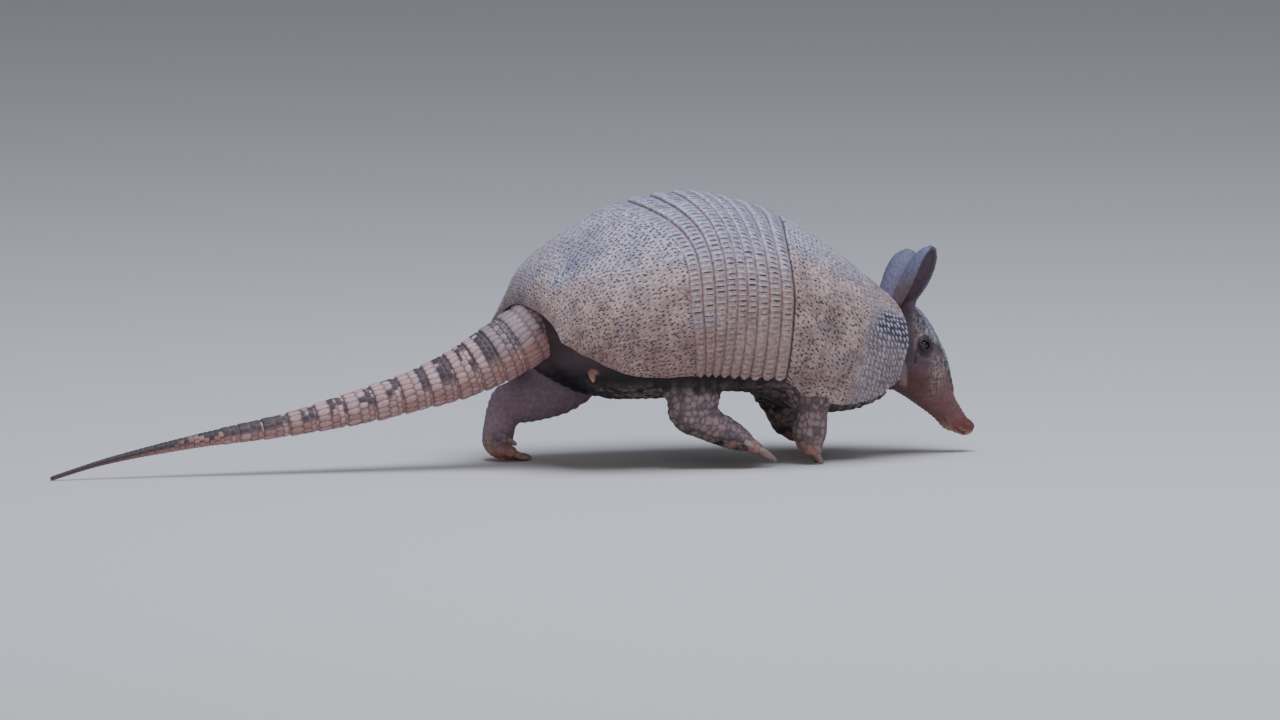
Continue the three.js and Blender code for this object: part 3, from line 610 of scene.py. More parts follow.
def shield(name, s_from, s_to, rows, columns, scute_rows, pitch, lip, bead_at, seed):
    """A shield of fused scutes between two sections."""
    s_line = np.linspace(s_from, s_to, rows)
    a_line = np.linspace(-1, 1, columns)
    s_grid, a_grid = np.meshgrid(s_line, a_line, indexing="ij")
    base = shell_point(s_grid, a_grid)
    flat = base.reshape(-1, 3)

    def noise(size, number, squeeze=(1, 1, 1)):
        return soft_noise(flat * squeeze, size, seed + number).reshape(rows, columns)

    girth = distance_across(s_line, a_line)
    length_steps = np.linalg.norm(np.diff(base, axis=0), axis=2)
    length = np.concatenate([np.zeros((1, columns)), np.cumsum(length_steps, 0)])
    row_place = (s_grid - s_from) / (s_to - s_from) * scute_rows + 0.35 * noise(11, 0)
    side_place = girth / pitch + 0.35 * noise(13, 1) + 200
    stagger = side_place + 0.5 * (np.floor(row_place) % 2)
    cells = np.stack([np.floor(row_place), np.floor(stagger), 0 * row_place], -1)
    dice = random_of(cells, seed, 4)
    swell = 0.5 - 0.5 * np.cos(2 * np.pi * row_place)
    relief = 0.12 * (-swell + np.cos(2 * np.pi * stagger) * swell)
    # each bead lies a little off the middle of its place
    off_row, off_side = (0.36 + 0.28 * dice[..., k] for k in (0, 1))
    from_middle = np.hypot(row_place % 1 - off_row, stagger % 1 - off_side)
    bead, darkness = bead_at(s_grid, a_grid)
    bead_size = 0.42 - 0.14 * darkness + 0.12 * dice[..., 2]
    beads = 0.7 * np.sqrt(np.clip(1 - (from_middle / bead_size) ** 2, 0, 1)) - 0.3
    pigment_and_sky_reflection, blotch, dust = shell_marks(base)
    pigment_and_sky_reflection = np.maximum(pigment_and_sky_reflection, bead * darkness)
    blotch = np.maximum(blotch, 0.5 * bead * darkness * ramp(from_middle - bead_size, -0.2, 0.1))
    height = mixed(relief, beads, bead)
    height += 0.25 * noise(9, 2) + 0.12 * noise(2.6, 3)
    # the dusty lower flank is cracked lengthwise
    height += 0.35 * dust * noise(2.2, 4, (0.3, 1, 1.2))
    side_room = girth[:, -1:] - np.abs(girth)
    front_room = length[-1:] - length
    height += lip * np.exp(-length / 9)
    height -= rounded_rim(np.minimum(np.minimum(side_room, length), front_room))
    ground = bead * darkness * ramp(from_middle - bead_size, -0.08, 0.06)
    values = {"pigment_and_sky_reflection": pigment_and_sky_reflection, "blotch": blotch, "dust": dust, "bead": bead, "ground": ground}
    maps = {"scutes": np.stack([row_place, side_place], -1)}
    return plate(name, shield_horn, s_grid, a_grid, height, values, maps)


def neck_beads(s, a):
    """Bead-like scutes next to the neck, and how dark the skin between them is."""
    wave = 0.5 * np.sin(5 * a) + 0.4 * np.cos(11 * a)
    low = 0.5 * ramp(np.abs(a), 0.55, 0.8) - 0.3 * ramp(-np.abs(a), -0.6, -0.4)
    bead = ramp(s + 0.25 * wave + low, 12.0, 12.7) * ramp(np.abs(a) + 0.03 * wave, 0.3, 0.44)
    return bead, 0.45 + 0.55 * ramp(-np.abs(a), -0.74, -0.55)


def tail_beads(s, a):
    """A row of pale knobs along the edge beside the tail."""
    bead = ramp(-s, -0.42, -0.2) * ramp(np.abs(a), 0.3, 0.45)
    return bead, 0.55


shoulder = shield("shoulder_shield_horn", BANDS_FRONT + 0.03, NECK_OPENING, 209, 433, 27, 4.2, 0.6,
                  neck_beads, 40)
declare(shoulder, "shell_scutes", "shoulder_shield")
hips = shield("pelvic_shield_horn", 0, BANDS_REAR + 0.1, 217, 433, 33, 3.3, 0.0, tail_beads, 60)
declare(hips, "shell_scutes", "pelvic_shield")

# %% [markdown]
# ## Finish of the bands
# On a band the scutes stand side by side like piano keys. Short dark seams run between them
# across the band, the crest of each key gets a painted highlight, and painted shade darkens
# the front where the band slides under its neighbour. The band's map counts its width from
# 0 to 1 and its scutes.

# %% Band finish
band_horn, tree, shader = new_finish("band_horn_with_painted_light")
shader.inputs["Specular IOR Level"].default_value = 0.42
shader.inputs["Roughness"].default_value = 0.62
shader.inputs["Sheen Weight"].default_value = 0.22
shader.inputs["Sheen Roughness"].default_value = 0.45
shader.inputs["Sheen Tint"].default_value = linear("#c4d0ee")
scute_map = add_node(tree, "UVMap", uv_map="scutes")
apart = add_node(tree, "SeparateXYZ", {0: scute_map})
width = add_node(tree, "Math", {0: apart.outputs["X"]}, operation="FRACT")
band_number = add_node(tree, "Math", {0: apart.outputs["X"]}, operation="FLOOR")
shifted = add_node(tree, "Math", {0: apart.outputs["Y"], 1: 0.5}, operation="ADD")
seam_number = add_node(tree, "Math", {0: shifted}, operation="FLOOR")
seam_gap = add_node(tree, "Math", {0: apart.outputs["Y"], 1: seam_number}, operation="SUBTRACT")
seam_away = add_node(tree, "Math", {0: seam_gap}, operation="ABSOLUTE")
number = add_node(tree, "CombineXYZ", {0: band_number, 1: seam_number})
dice = add_node(tree, "TexWhiteNoise", {"Vector": number}, noise_dimensions="3D")
dice_parts = add_node(tree, "SeparateColor", {0: dice.outputs["Color"]})
seam_width = add_node(tree, "MapRange", {0: dice_parts, 1: 0.0, 2: 1.0, 3: 0.09, 4: 0.24})
seam_share = add_node(tree, "Math", {0: seam_away, 1: seam_width}, operation="DIVIDE")
seam = add_node(tree, "MapRange", {0: seam_share, 1: 0.5, 2: 1.0, 3: 1.0, 4: 0.0})
seam_start = add_node(tree, "MapRange", {0: dice_parts.outputs[1], 1: 0.0, 2: 1.0, 3: 0.0, 4: 0.2})
past_start = add_node(tree, "Math", {0: width, 1: seam_start}, operation="SUBTRACT")
seam_from = add_node(tree, "MapRange", {0: past_start, 1: 0.0, 2: 0.1, 3: 0.0, 4: 1.0})
seam_to = add_node(tree, "MapRange", {0: width, 1: 0.52, 2: 0.68, 3: 1.0, 4: 0.0})
seam_dark = add_node(tree, "MapRange", {0: dice_parts.outputs[2], 1: 0.1, 2: 0.7, 3: 0.3, 4: 1.0})
seam_long = add_node(tree, "Math", {0: seam, 1: seam_from}, operation="MULTIPLY")
seam_cut = add_node(tree, "Math", {0: seam_long, 1: seam_to}, operation="MULTIPLY")
seams = add_node(tree, "Attribute", attribute_name="seams")
seam_kept = add_node(tree, "Math", {0: seam_cut, 1: seam_dark}, operation="MULTIPLY")
seam_mask = add_node(tree, "Math", {0: seam_kept, 1: seams.outputs["Fac"]}, operation="MULTIPLY",
                     use_clamp=True)
pigment_and_sky_reflection = add_node(tree, "Attribute", attribute_name="pigment_and_sky_reflection")
dust = add_node(tree, "Attribute", attribute_name="dust")
body_place = add_node(tree, "TexCoord")
patches = add_node(tree, "TexNoise", {"Vector": body_place.outputs["Object"], "Scale": 70.0,
                   "Detail": 5.0, "Roughness": 0.6})
tan = add_node(tree, "Mix", {0: patches.outputs["Fac"], 6: linear(TAN_HORN), 7: linear(PALE_HORN)},
               data_type="RGBA")
dusty = add_node(tree, "Mix", {0: dust.outputs["Fac"], 6: tan.outputs[2], 7: linear(DUST)},
                 data_type="RGBA")
grains = add_node(tree, "TexNoise", {"Vector": body_place.outputs["Object"], "Scale": 420.0,
                  "Detail": 3.0, "Roughness": 0.7})
pigment_and_sky_reflection_edge = add_node(tree, "MapRange", {0: grains.outputs["Fac"], 1: 0.35, 2: 0.62, 3: 0.3, 4: 1.0})
pigment_and_sky_reflection_here = add_node(tree, "Math", {0: pigment_and_sky_reflection_edge, 1: pigment_and_sky_reflection.outputs["Fac"]}, operation="MULTIPLY",
                        use_clamp=True)
# blue-grey pigment, and on the top of the shell a painted sky reflection
greyed = add_node(tree, "Mix", {0: pigment_and_sky_reflection_here, 6: dusty.outputs[2], 7: linear(BLUE_GREY)},
                  data_type="RGBA")
blotch = add_node(tree, "Attribute", attribute_name="blotch")
blued = add_node(tree, "Mix", {0: blotch.outputs["Fac"], 6: greyed.outputs[2], 7: linear("#5b607a")},
                 data_type="RGBA")
# painted highlight on the crests of the keys; the smooth strip before them is pink; then painted shade where
# the band goes under its neighbour
# painted highlight: the middle of each key is paled towards a light blue-grey
crest = add_node(tree, "MapRange", {0: seam_away, 1: 0.2, 2: 0.42, 3: 0.0, 4: 0.45})
key_zone = add_node(tree, "MapRange", {0: width, 1: 0.5, 2: 0.66, 3: 1.0, 4: 0.0})
crest_here = add_node(tree, "Math", {0: crest, 1: key_zone}, operation="MULTIPLY")
crest_shown = add_node(tree, "Math", {0: crest_here, 1: seams.outputs["Fac"]}, operation="MULTIPLY")
painted_crest_highlight = add_node(tree, "Mix", {0: crest_shown, 6: blued.outputs[2], 7: linear("#bdb4bc")},
                data_type="RGBA")
strip = add_node(tree, "MapRange", {0: width, 1: 0.62, 2: 0.72, 3: 0.0, 4: 0.55})
pink_strip = add_node(tree, "Mix", {0: strip, 6: painted_crest_highlight.outputs[2], 7: linear("#8f6d66")}, data_type="RGBA")
# painted shade: the band's front, under the rear edge of the band before it, is darkened
painted_shade_share = add_node(tree, "MapRange", {0: width, 1: 0.7, 2: 0.84, 3: 0.0, 4: 0.95})
painted_shade = add_node(tree, "Mix", {0: painted_shade_share, 6: pink_strip.outputs[2], 7: linear("#2c2426")},
                 data_type="RGBA")
grain_shade = add_node(tree, "MapRange", {0: grains.outputs["Fac"], 1: 0.32, 2: 0.68, 3: 0.6, 4: 1.32})
grained = add_node(tree, "Mix", {0: 1.0, 6: painted_shade.outputs[2], 7: grain_shade}, data_type="RGBA",
                   blend_type="MULTIPLY")
coloured = add_node(tree, "Mix", {0: seam_mask, 6: grained.outputs[2], 7: linear(PIT_DARK)},
                    data_type="RGBA")
tree.links.new(coloured.outputs[2], shader.inputs["Base Color"])
seam_depth = add_node(tree, "Math", {0: seam_mask, 1: -0.5}, operation="MULTIPLY")
relief = add_node(tree, "Math", {0: grains.outputs["Fac"], 1: 0.35, 2: seam_depth},
                  operation="MULTIPLY_ADD")
bump = add_node(tree, "Bump", {"Height": relief, "Strength": 0.8, "Distance": 1.0 * MM})
tree.links.new(bump.outputs[0], shader.inputs["Normal"])
print("finish:", band_horn.name)

# %% [markdown]
# ## The nine bands
# Each band is a long row of narrow scutes, bent over the back like a barrel hoop. Its rear
# edge rides over the next band and its front edge slides under the one before, which draws
# the dark line between them. The lower ends are free and rounded like finger tips. All nine
# follow one rule, so one function makes them from the sections where the bands lie.

# %% Bands
BAND_LIP = 1.2
BAND_SCUTE = 3.8  # width of one scute of a band
BAND_OVERLAP = 0.9  # how far a band's rear edge reaches over the next one, in millimetres
BAND_TUCK = 1.6  # how far its front edge goes under the one before
END_ROUND = 6.5  # length of a band's rounded lower end


def band(index):
    """Band number index, counted from the front."""
    rows, columns = 25, 609
    s_front = BANDS_FRONT - (BANDS_FRONT - BANDS_REAR) * (index - 1) / BAND_COUNT
    s_rear = BANDS_FRONT - (BANDS_FRONT - BANDS_REAR) * index / BAND_COUNT
    a_line = np.linspace(-1, 1, columns)
    width = np.linalg.norm(shell_point(np.full(columns, s_front), a_line)
                           - shell_point(np.full(columns, s_rear), a_line), axis=1)
    per_mm = (s_front - s_rear) / width
    share = np.linspace(0, 1, rows)[:, None]
    start = s_rear - BAND_OVERLAP * per_mm
    stop = s_front + BAND_TUCK * per_mm
    girth = distance_across(np.array([(s_front + s_rear) / 2]), a_line)[0]
    end_room = girth[-1] - np.abs(girth)
    end_fit = np.sqrt(np.clip(1 - np.clip(1 - end_room / END_ROUND, 0, 1) ** 2.4, 0.05, 1))
    middle = mixed(start, stop, 0.46)
    s_grid = middle + (mixed(start, stop, share) - middle) * end_fit
    a_grid = np.broadcast_to(a_line, s_grid.shape)
    base = shell_point(s_grid, a_grid)
    flat = base.reshape(-1, 3)
    shape = s_grid.shape
    sway = 0.2 * soft_noise(flat, 16, 80 + index).reshape(shape)
    side_place = np.broadcast_to(girth / BAND_SCUTE, shape) + 100 + 0.31 * index + sway
    # the last band's rear edge is grown together with the hip shield over the back
    loose = np.full(shape, 1.0)
    if index == BAND_COUNT:
        loose = ramp(np.abs(a_grid), 0.32, 0.48)
    # from its rear edge a band has a swelling row of keys, a groove and a smooth strip,
    # and then dives under its neighbour
    side = ramp(np.abs(a_grid), 0.2, 0.5)
    low_down = ramp(np.abs(a_grid), 0.72, 0.86)
    keys = np.sin(np.pi * np.clip((share - 0.02) / 0.64, 0, 1)) ** 0.7
    profile = mixed(-0.9, BAND_LIP * mixed(0.2, 1, loose), ramp(-share, -1.0, -0.3))
    profile = profile + mixed(0.45, 0.75, side) * keys + 0.35 * np.exp(-(((share - 0.78) / 0.09) ** 2))
    to_seam = np.abs(side_place % 1 - 0.5)
    gap = mixed(0.5, 0.2, low_down) * (1 - ramp(0.5 - to_seam, 0.0, 0.24)) * keys
    height = profile - gap
    height += 0.16 * soft_noise(flat, 5, 90 + index).reshape(shape)
    height += 0.10 * soft_noise(flat, 2.2, 95 + index).reshape(shape)
    rear_room = share * (width + BAND_OVERLAP + BAND_TUCK) * end_fit
    height -= rounded_rim(rear_room, 1.0) * mixed(0.4, 1, loose)
    height -= 0.8 * rounded_rim(np.broadcast_to(end_room, shape), 3.0)
    pigment_and_sky_reflection, blotch, dust = shell_marks(base)
    # over the back each scute has a blue-grey scale mark, pale behind
    cell = np.stack([np.floor(side_place), 0 * side_place, 0 * side_place + index], -1)
    dice = random_of(cell, 71, 2)
    mark = 1 - np.hypot((share - 0.4) / 0.34, (side_place % 1 - 0.5) / 0.4)
    back = ramp(-np.abs(a_grid) + 0.1 * dice[..., 0], -0.52, -0.22)
    blotch = np.clip(0.5 * blotch + back * ramp(mark, 0.0, 0.3) * (0.4 + 0.6 * dice[..., 1]), 0, 1)
    seams = ramp(-np.abs(np.abs(a_grid) - 0.5), -0.3, -0.1)
    seams = np.clip(0.3 + 0.7 * seams + 0.3 * soft_noise(flat, 22, 99).reshape(shape), 0.2, 1)
    values = {"pigment_and_sky_reflection": pigment_and_sky_reflection, "blotch": blotch, "dust": 0.5 * dust, "seams": seams}
    maps = {"scutes": np.stack([np.clip(share, 0.001, 0.999) + np.zeros(shape) + 10 * index,
                                side_place - 0.5], -1)}
    return plate(f"band_{index}_horn", band_horn, s_grid, a_grid, height, values, maps)


for index in range(1, BAND_COUNT + 1):
    declare(band(index), "shell_scutes", f"band_{index}")

# %% [markdown]
# ## The tail
# The tail is cased in thirteen rings. Each has two rows of small scales in front and two
# of larger pale ones behind, whose edge stands out over the next ring. Past the rings
# the tip has plain small scales. One function lays a grid round the tail's middle line
# and raises the scales; their colour is kept with each point.

# %% Tail finish
def painted_horn(name, specular, roughness, grain_scale, shades):
    """Horn that takes each point's own colour, with a fine grain in its shade and relief."""
    material, tree, shader = new_finish(name)
    shader.inputs["Specular IOR Level"].default_value = specular
    shader.inputs["Roughness"].default_value = roughness
    tone = add_node(tree, "Attribute", attribute_name="tone")
    body_place = add_node(tree, "TexCoord")
    grains = add_node(tree, "TexNoise", {"Vector": body_place.outputs["Object"], "Scale": grain_scale,
                                         "Detail": 3.0, "Roughness": 0.7})
    grain_shade = add_node(tree, "MapRange", {0: grains.outputs["Fac"], 1: 0.3, 2: 0.7,
                                              3: shades[0], 4: shades[1]})
    grained = add_node(tree, "Mix", {0: 1.0, 6: tone.outputs["Color"], 7: grain_shade},
                       data_type="RGBA", blend_type="MULTIPLY")
    tree.links.new(grained.outputs[2], shader.inputs["Base Color"])
    bump = add_node(tree, "Bump", {"Height": grains.outputs["Fac"], "Strength": 0.5,
                                   "Distance": 0.35 * MM})
    tree.links.new(bump.outputs[0], shader.inputs["Normal"])
    return material


tail_horn = painted_horn("ringed_tail_horn", 0.36, 0.6, 500.0, (0.78, 1.14))


# %% Tail line
TAIL_LINE = [
    [-64, 0, 105], [-99.4, 0, 83.5], [-132, 1.5, 67], [-166, 4, 55.3], [-195, 6, 47.5],
    [-254, 10, 34.8], [-324, 14.5, 24], [-386, 17.5, 12], [-425, 19, 1.2],
]
TAIL_RADII = [21, 20.4, 17, 13.3, 11.7, 7.9, 4.6, 2.2, 1.5]
TAIL_BASE_LENGTH = 34.5
TAIL_RING_LENGTHS = [16, 16, 17, 19, 20, 20, 21, 21, 20, 19, 17, 12]
TAIL_RING_STEP = 0.7


def centripetal_curve(rows, count):
    """Many points on the centripetal rounded line through the rows, as the solids' tail is drawn."""
    rows = np.asarray(rows, float)
    padded = np.concatenate([[2 * rows[0] - rows[1]], rows, [2 * rows[-1] - rows[-2]]])
    out = []
    for k in range(len(rows) - 1):
        p0, p1, p2, p3 = padded[k:k + 4]
        d0, d1, d2 = (max(float(((b - a) ** 2).sum()) ** 0.25, 1e-4)
                      for a, b in ((p0, p1), (p1, p2), (p2, p3)))
        m1 = ((p1 - p0) / d0 - (p2 - p0) / (d0 + d1) + (p2 - p1) / d1) * d1
        m2 = ((p2 - p1) / d1 - (p3 - p1) / (d1 + d2) + (p3 - p2) / d2) * d1
        f = np.linspace(0, 1, count, endpoint=k == len(rows) - 2)[:, None]
        out.append(p1 * (2 * f**3 - 3 * f**2 + 1) + m1 * (f**3 - 2 * f**2 + f)
                   + p2 * (3 * f**2 - 2 * f**3) + m2 * (f**3 - f**2))
    return np.concatenate(out)


tail_points = centripetal_curve(TAIL_LINE, 60)
tail_steps = np.linalg.norm(np.diff(tail_points, axis=0), axis=1)
tail_run = np.concatenate([[0], np.cumsum(tail_steps)])
tail_places = np.linspace(0, len(TAIL_LINE) - 1, len(tail_points))
TAIL_LENGTH = float(tail_run[-1])
print("tail:", round(TAIL_LENGTH), "mm")


def tail_frame(distance):
    """The tail's middle, its sideways and upward directions and its radius at each distance."""
    distance = np.asarray(distance, float)
    at = np.stack([np.interp(distance, tail_run, tail_points[:, k]) for k in range(3)], -1)
    ahead = np.stack([np.interp(distance + 1.5, tail_run, tail_points[:, k]) for k in range(3)], -1)
    behind = np.stack([np.interp(distance - 1.5, tail_run, tail_points[:, k]) for k in range(3)], -1)
    way = ahead - behind
    way /= np.linalg.norm(way, axis=-1, keepdims=True)
    side = np.array([0.0, 1.0, 0.0]) - way * way[..., 1:2]
    side /= np.linalg.norm(side, axis=-1, keepdims=True)
    up = np.cross(way, side)
    up *= np.sign(up[..., 2:3])
    radius = smooth(np.array(TAIL_RADII), np.interp(distance, tail_run, tail_places))
    return at, side, up, radius


# %% Tail rings
PALE_SCALE = np.array(linear("#cdb0ae")[:3])
PINK_SCALE = np.array(linear("#a67c73")[:3])
DARK_SCALE = np.array(linear("#2d2c34")[:3])
GROOVE = np.array(linear("#6b5350")[:3])
GREY_SCALE = np.array(linear("#8a8084")[:3])
SCALE_ROWS = [0, 0.15, 0.32, 0.58, 1.01]  # where a ring's rows of scales begin, smallest in front
FIRST_RING_AT = 7  # where the ring under the tail arch begins, in millimetres from the root


def ring_scales(share, turn, radius, index):
    """Rise, edge and dice of a ring's scales. share runs from the front edge to the rear one."""
    count = max(int(round(2 * np.pi * float(np.mean(radius)) / 4.4)), 8)
    row = np.searchsorted(SCALE_ROWS, share, side="right") - 1
    row = np.clip(row, 0, len(SCALE_ROWS) - 2)
    bounds = np.array(SCALE_ROWS)
    along = (share - bounds[row]) / (bounds[row + 1] - bounds[row])
    place = turn / (2 * np.pi) * count + 0.5 * (row % 2)
    off = np.abs(place % 1 - 0.5)
    # scales are six-sided in front and rounded behind
    edge = np.minimum(np.minimum(0.5 - off, 0.5 - np.abs(along - 0.5)), 0.72 - np.abs(along - 0.5) - off)
    dome = 0.5 * np.sqrt(np.clip(edge / 0.36, 0, 1))
    cells = np.stack([row, np.floor(place), np.full(share.shape, index)], -1)
    return dome, edge, random_of(cells, 17, 2), row


def tail_ring(index, begin, length):
    """One ring of the tail, index counted from the body."""
    rows, columns = 41, 216
    share = np.linspace(0, 1, rows)[:, None]
    turn = np.linspace(0, 2 * np.pi, columns, endpoint=False)[None, :]
    distance = begin - 0.8 + share * (length + 1.6)
    at, side, up, radius = tail_frame(distance[:, 0])
    share_grid = np.broadcast_to(share, (rows, columns))
    turn_grid = np.broadcast_to(turn, (rows, columns))
    # the rows wander a little, so that no two rings are alike
    wobble = 0.5 * np.sin(turn_grid * 3 + index) + 0.5 * np.sin(turn_grid * 7 + 2 * index)
    bent_share = np.clip(share_grid + 0.015 * wobble, 0, 1)
    bent_turn = turn_grid + 0.03 * np.sin(5 * turn_grid + 9 * share_grid + index)
    dome, edge, dice, row = ring_scales(bent_share, bent_turn, radius, index)
    thin = np.clip(radius[:, None] / 12, 0.35, 1)
    step = mixed(-0.6, TAIL_RING_STEP, ramp(share_grid, 0.0, 0.3)) + 0.35 * ramp(share_grid, 0.5, 0.9)
    step -= 1.3 * ramp(share_grid, 0.955, 1.0)
    way = np.cos(turn_grid)[..., None] * side[:, None] + np.sin(turn_grid)[..., None] * up[:, None]
    flat_spots = (at[:, None] + way * radius[:, None, None]).reshape(-1, 3)
    lumps = 0.14 * soft_noise(flat_spots, 3, 30 + index).reshape(rows, columns)
    reach = radius[:, None] + (step + (dome - 0.3) + lumps) * thin
    spots = at[:, None] + way * reach[..., None]
    # colour: dark blotches on the upper side of the front rows, larger pale scales behind
    above = ramp(np.sin(turn_grid), -0.3, 0.3)
    patch = soft_noise(flat_spots, 10, 3).reshape(rows, columns)
    chance = 0.35 * dice[..., 0] + 0.4 * patch + 0.45 * (row < 2) + 0.3 * (row == 2)
    dark = above * ramp(chance, 0.42, 0.5) * (row < 3)
    if index >= 10:
        dark = np.maximum(dark, above * ramp(dice[..., 0] + 0.12 * (index - 9), 0.45, 0.6))
    pinkness = np.clip(0.15 + 0.6 * dice[..., 1] + 0.3 * (1 - above), 0, 1)
    tone = mixed(PALE_SCALE, PINK_SCALE, pinkness[..., None])
    tone = mixed(tone, GREY_SCALE, (0.7 * above * (index <= 1))[..., None])
    near_body = 0.45 if index <= 1 else 0.92
    tone = mixed(tone, DARK_SCALE, (dark * near_body)[..., None])
    outline = mixed(mixed(tone, GROOVE, 0.7), DARK_SCALE, (0.8 * (near_body < 0.5) * dark)[..., None])
    tone = mixed(outline, tone, ramp(edge, 0.02, 0.14)[..., None])
    # painted shade: the ring's front edge, tucked under the ring before it, is darkened
    tone = mixed(GROOVE * 0.5, tone, ramp(share_grid, 0.02, 0.12)[..., None])
    all_spots = np.concatenate([spots.reshape(-1, 3), [at[0], at[-1]]])
    ends = end_fans(rows * columns, columns)
    tones = np.concatenate([tone.reshape(-1, 3), [GROOVE, GROOVE]])
    faces = [grid_faces(rows, columns, closed=True), *ends]
    return new_piece(f"tail_ring_{index}_horn", all_spots, faces, tail_horn, {"tone": tones})


def fix_outward(piece):
    """Turns a closed piece's faces outward if it was made inside out."""
    mesh = piece.data
    count = len(mesh.polygons)
    centres = np.empty(count * 3)
    normals = np.empty(count * 3)
    mesh.polygons.foreach_get("center", centres)
    mesh.polygons.foreach_get("normal", normals)
    areas = np.empty(count)
    mesh.polygons.foreach_get("area", areas)
    middle = centres.reshape(-1, 3).mean(0)
    volume = (((centres.reshape(-1, 3) - middle) * normals.reshape(-1, 3)).sum(1) * areas).sum()
    if volume < 0:
        mesh.flip_normals()
    return piece


# the ring under the arch lies over the tail's root, which the skin stands for
declare(fix_outward(tail_ring(0, FIRST_RING_AT, TAIL_BASE_LENGTH - FIRST_RING_AT)), "tail_scutes")
reached = TAIL_BASE_LENGTH
for index, length in enumerate(TAIL_RING_LENGTHS, 1):
    declare(fix_outward(tail_ring(index, reached, length)), "tail_scutes", f"tail_ring_{index}")
    reached += length

# %% Tail tip
def tail_tip(begin):
    """The tapering end of the tail, cased in small dark scales."""
    rows, columns = 201, 36
    share = np.linspace(0, 1, rows)[:, None]
    turn = np.linspace(0, 2 * np.pi, columns, endpoint=False)[None, :]
    distance = begin - 0.8 + share[:, 0] * (TAIL_LENGTH - begin + 0.8)
    at, side, up, radius = tail_frame(np.minimum(distance, TAIL_LENGTH - 0.6))
    scale_row = (distance - begin)[:, None] / 3.6 + 50
    place = turn / (2 * np.pi) * 8 + 0.5 * (np.floor(scale_row) % 2)
    along = scale_row % 1
    edge = np.minimum(0.5 - np.abs(place % 1 - 0.5), 1 - along)
    rise = 0.30 * ramp(edge, 0, 0.2) + 0.28 * (1 - along) - 0.3
    end = np.sqrt(np.clip(1 - ramp(share, 0.965, 1.02) ** 2, 0.02, 1))
    reach = (radius[:, None] * 0.98 + rise * np.clip(radius[:, None] / 4, 0.3, 1)) * end
    way = np.cos(turn)[..., None] * side[:, None] + np.sin(turn)[..., None] * up[:, None]
    spots = at[:, None] + way * reach[..., None]
    cells = np.stack([np.floor(scale_row) + 0 * place, np.floor(place), 0 * place], -1)
    dice = random_of(cells, 23, 2)
    above = ramp(np.sin(turn) + 0 * share, -0.5, 0.3)
    dark = np.clip(above * ramp(dice[..., 0] + 1.3 * share, 0.3, 0.6) + 0.5 * ramp(share, 0.3, 0.7), 0, 1)
    tone = mixed(PINK_SCALE + 0 * dice[..., :1], DARK_SCALE, (0.92 * dark)[..., None])
    tone = mixed(GROOVE * 0.5, tone, ramp(edge, 0.0, 0.15)[..., None])
    count = rows * columns
    all_spots = np.concatenate([spots.reshape(-1, 3), [at[0], spots[-1].mean(0)]])
    ends = end_fans(count, columns)
    tones = np.concatenate([tone.reshape(-1, 3), [GROOVE, DARK_SCALE]])
    all_spots[:, 2] = np.maximum(all_spots[:, 2], 0.05)
    return new_piece("tail_tip_horn", all_spots, [grid_faces(rows, columns, closed=True), *ends],
                     tail_horn, {"tone": tones})


declare(fix_outward(tail_tip(reached)), "tail_tip_scales", "tail_tip")

# %% [markdown]
# ## The skin
# Everything soft is one skin: belly, neck, head, ears, legs, toes and the root of the
# tail. Modelling it by hand would leave seams where a leg meets the body. Instead each
# part is described as a distance: how far any point in space lies outside it. Distances
# blend, so a leg melts into the belly, and one mesh is then drawn where distance is zero.

# %% Space to draw the skin in
def spaced(*stretches):
    """Grid lines through stretches (from, to, spacing), closer together where detail is fine."""
    lines = [np.arange(start, stop, step) for start, stop, step in stretches]
    return np.concatenate([*lines, [stretches[-1][1]]])


grid_x = spaced((-104, -20, 1.5), (-20, 74, 1.2), (74, 150, 1.3), (150, 178, 1.5), (178, 252, 0.82))
grid_y = spaced((-76, -64, 2.0), (-64, -33, 1.15), (-33, 33, 0.97), (33, 64, 1.3), (64, 76, 2.0))
grid_z = spaced((-2, 62, 1.1), (62, 150, 1.15), (150, 190, 3.0))
skin_field = np.full((len(grid_x), len(grid_y), len(grid_z)), 30.0, np.float32)
print("skin grid:", skin_field.shape)


def part_of_grid(low, high):
    """The slices of the grid that hold a box."""
    cuts = []
    for lines, a, b in zip((grid_x, grid_y, grid_z), low, high):
        start = max(int(np.searchsorted(lines, a)) - 1, 0)
        cuts.append(slice(start, int(np.searchsorted(lines, b)) + 1))
    return tuple(cuts)


def places_in(cuts):
    """The coordinates of the grid points in a box, as three arrays that broadcast together."""
    return (grid_x[cuts[0]][:, None, None].astype(np.float32),
            grid_y[cuts[1]][None, :, None].astype(np.float32),
            grid_z[cuts[2]][None, None, :].astype(np.float32))


def blend_in(low, high, form, softness):
    """Adds a form to the skin inside a box, melted in over softness millimetres."""
    cuts = part_of_grid(low, high)
    distance = form(*places_in(cuts)).astype(np.float32)
    old = skin_field[cuts]
    share = np.clip(0.5 + 0.5 * (old - distance) / softness, 0, 1)
    skin_field[cuts] = old * (1 - share) + distance * share - softness * share * (1 - share)


def carve_out(low, high, form, softness):
    """Takes a form away from the skin inside a box."""
    cuts = part_of_grid(low, high)
    distance = -form(*places_in(cuts)).astype(np.float32)
    old = skin_field[cuts]
    share = np.clip(0.5 - 0.5 * (old - distance) / softness, 0, 1)
    skin_field[cuts] = old * (1 - share) + distance * share + softness * share * (1 - share)


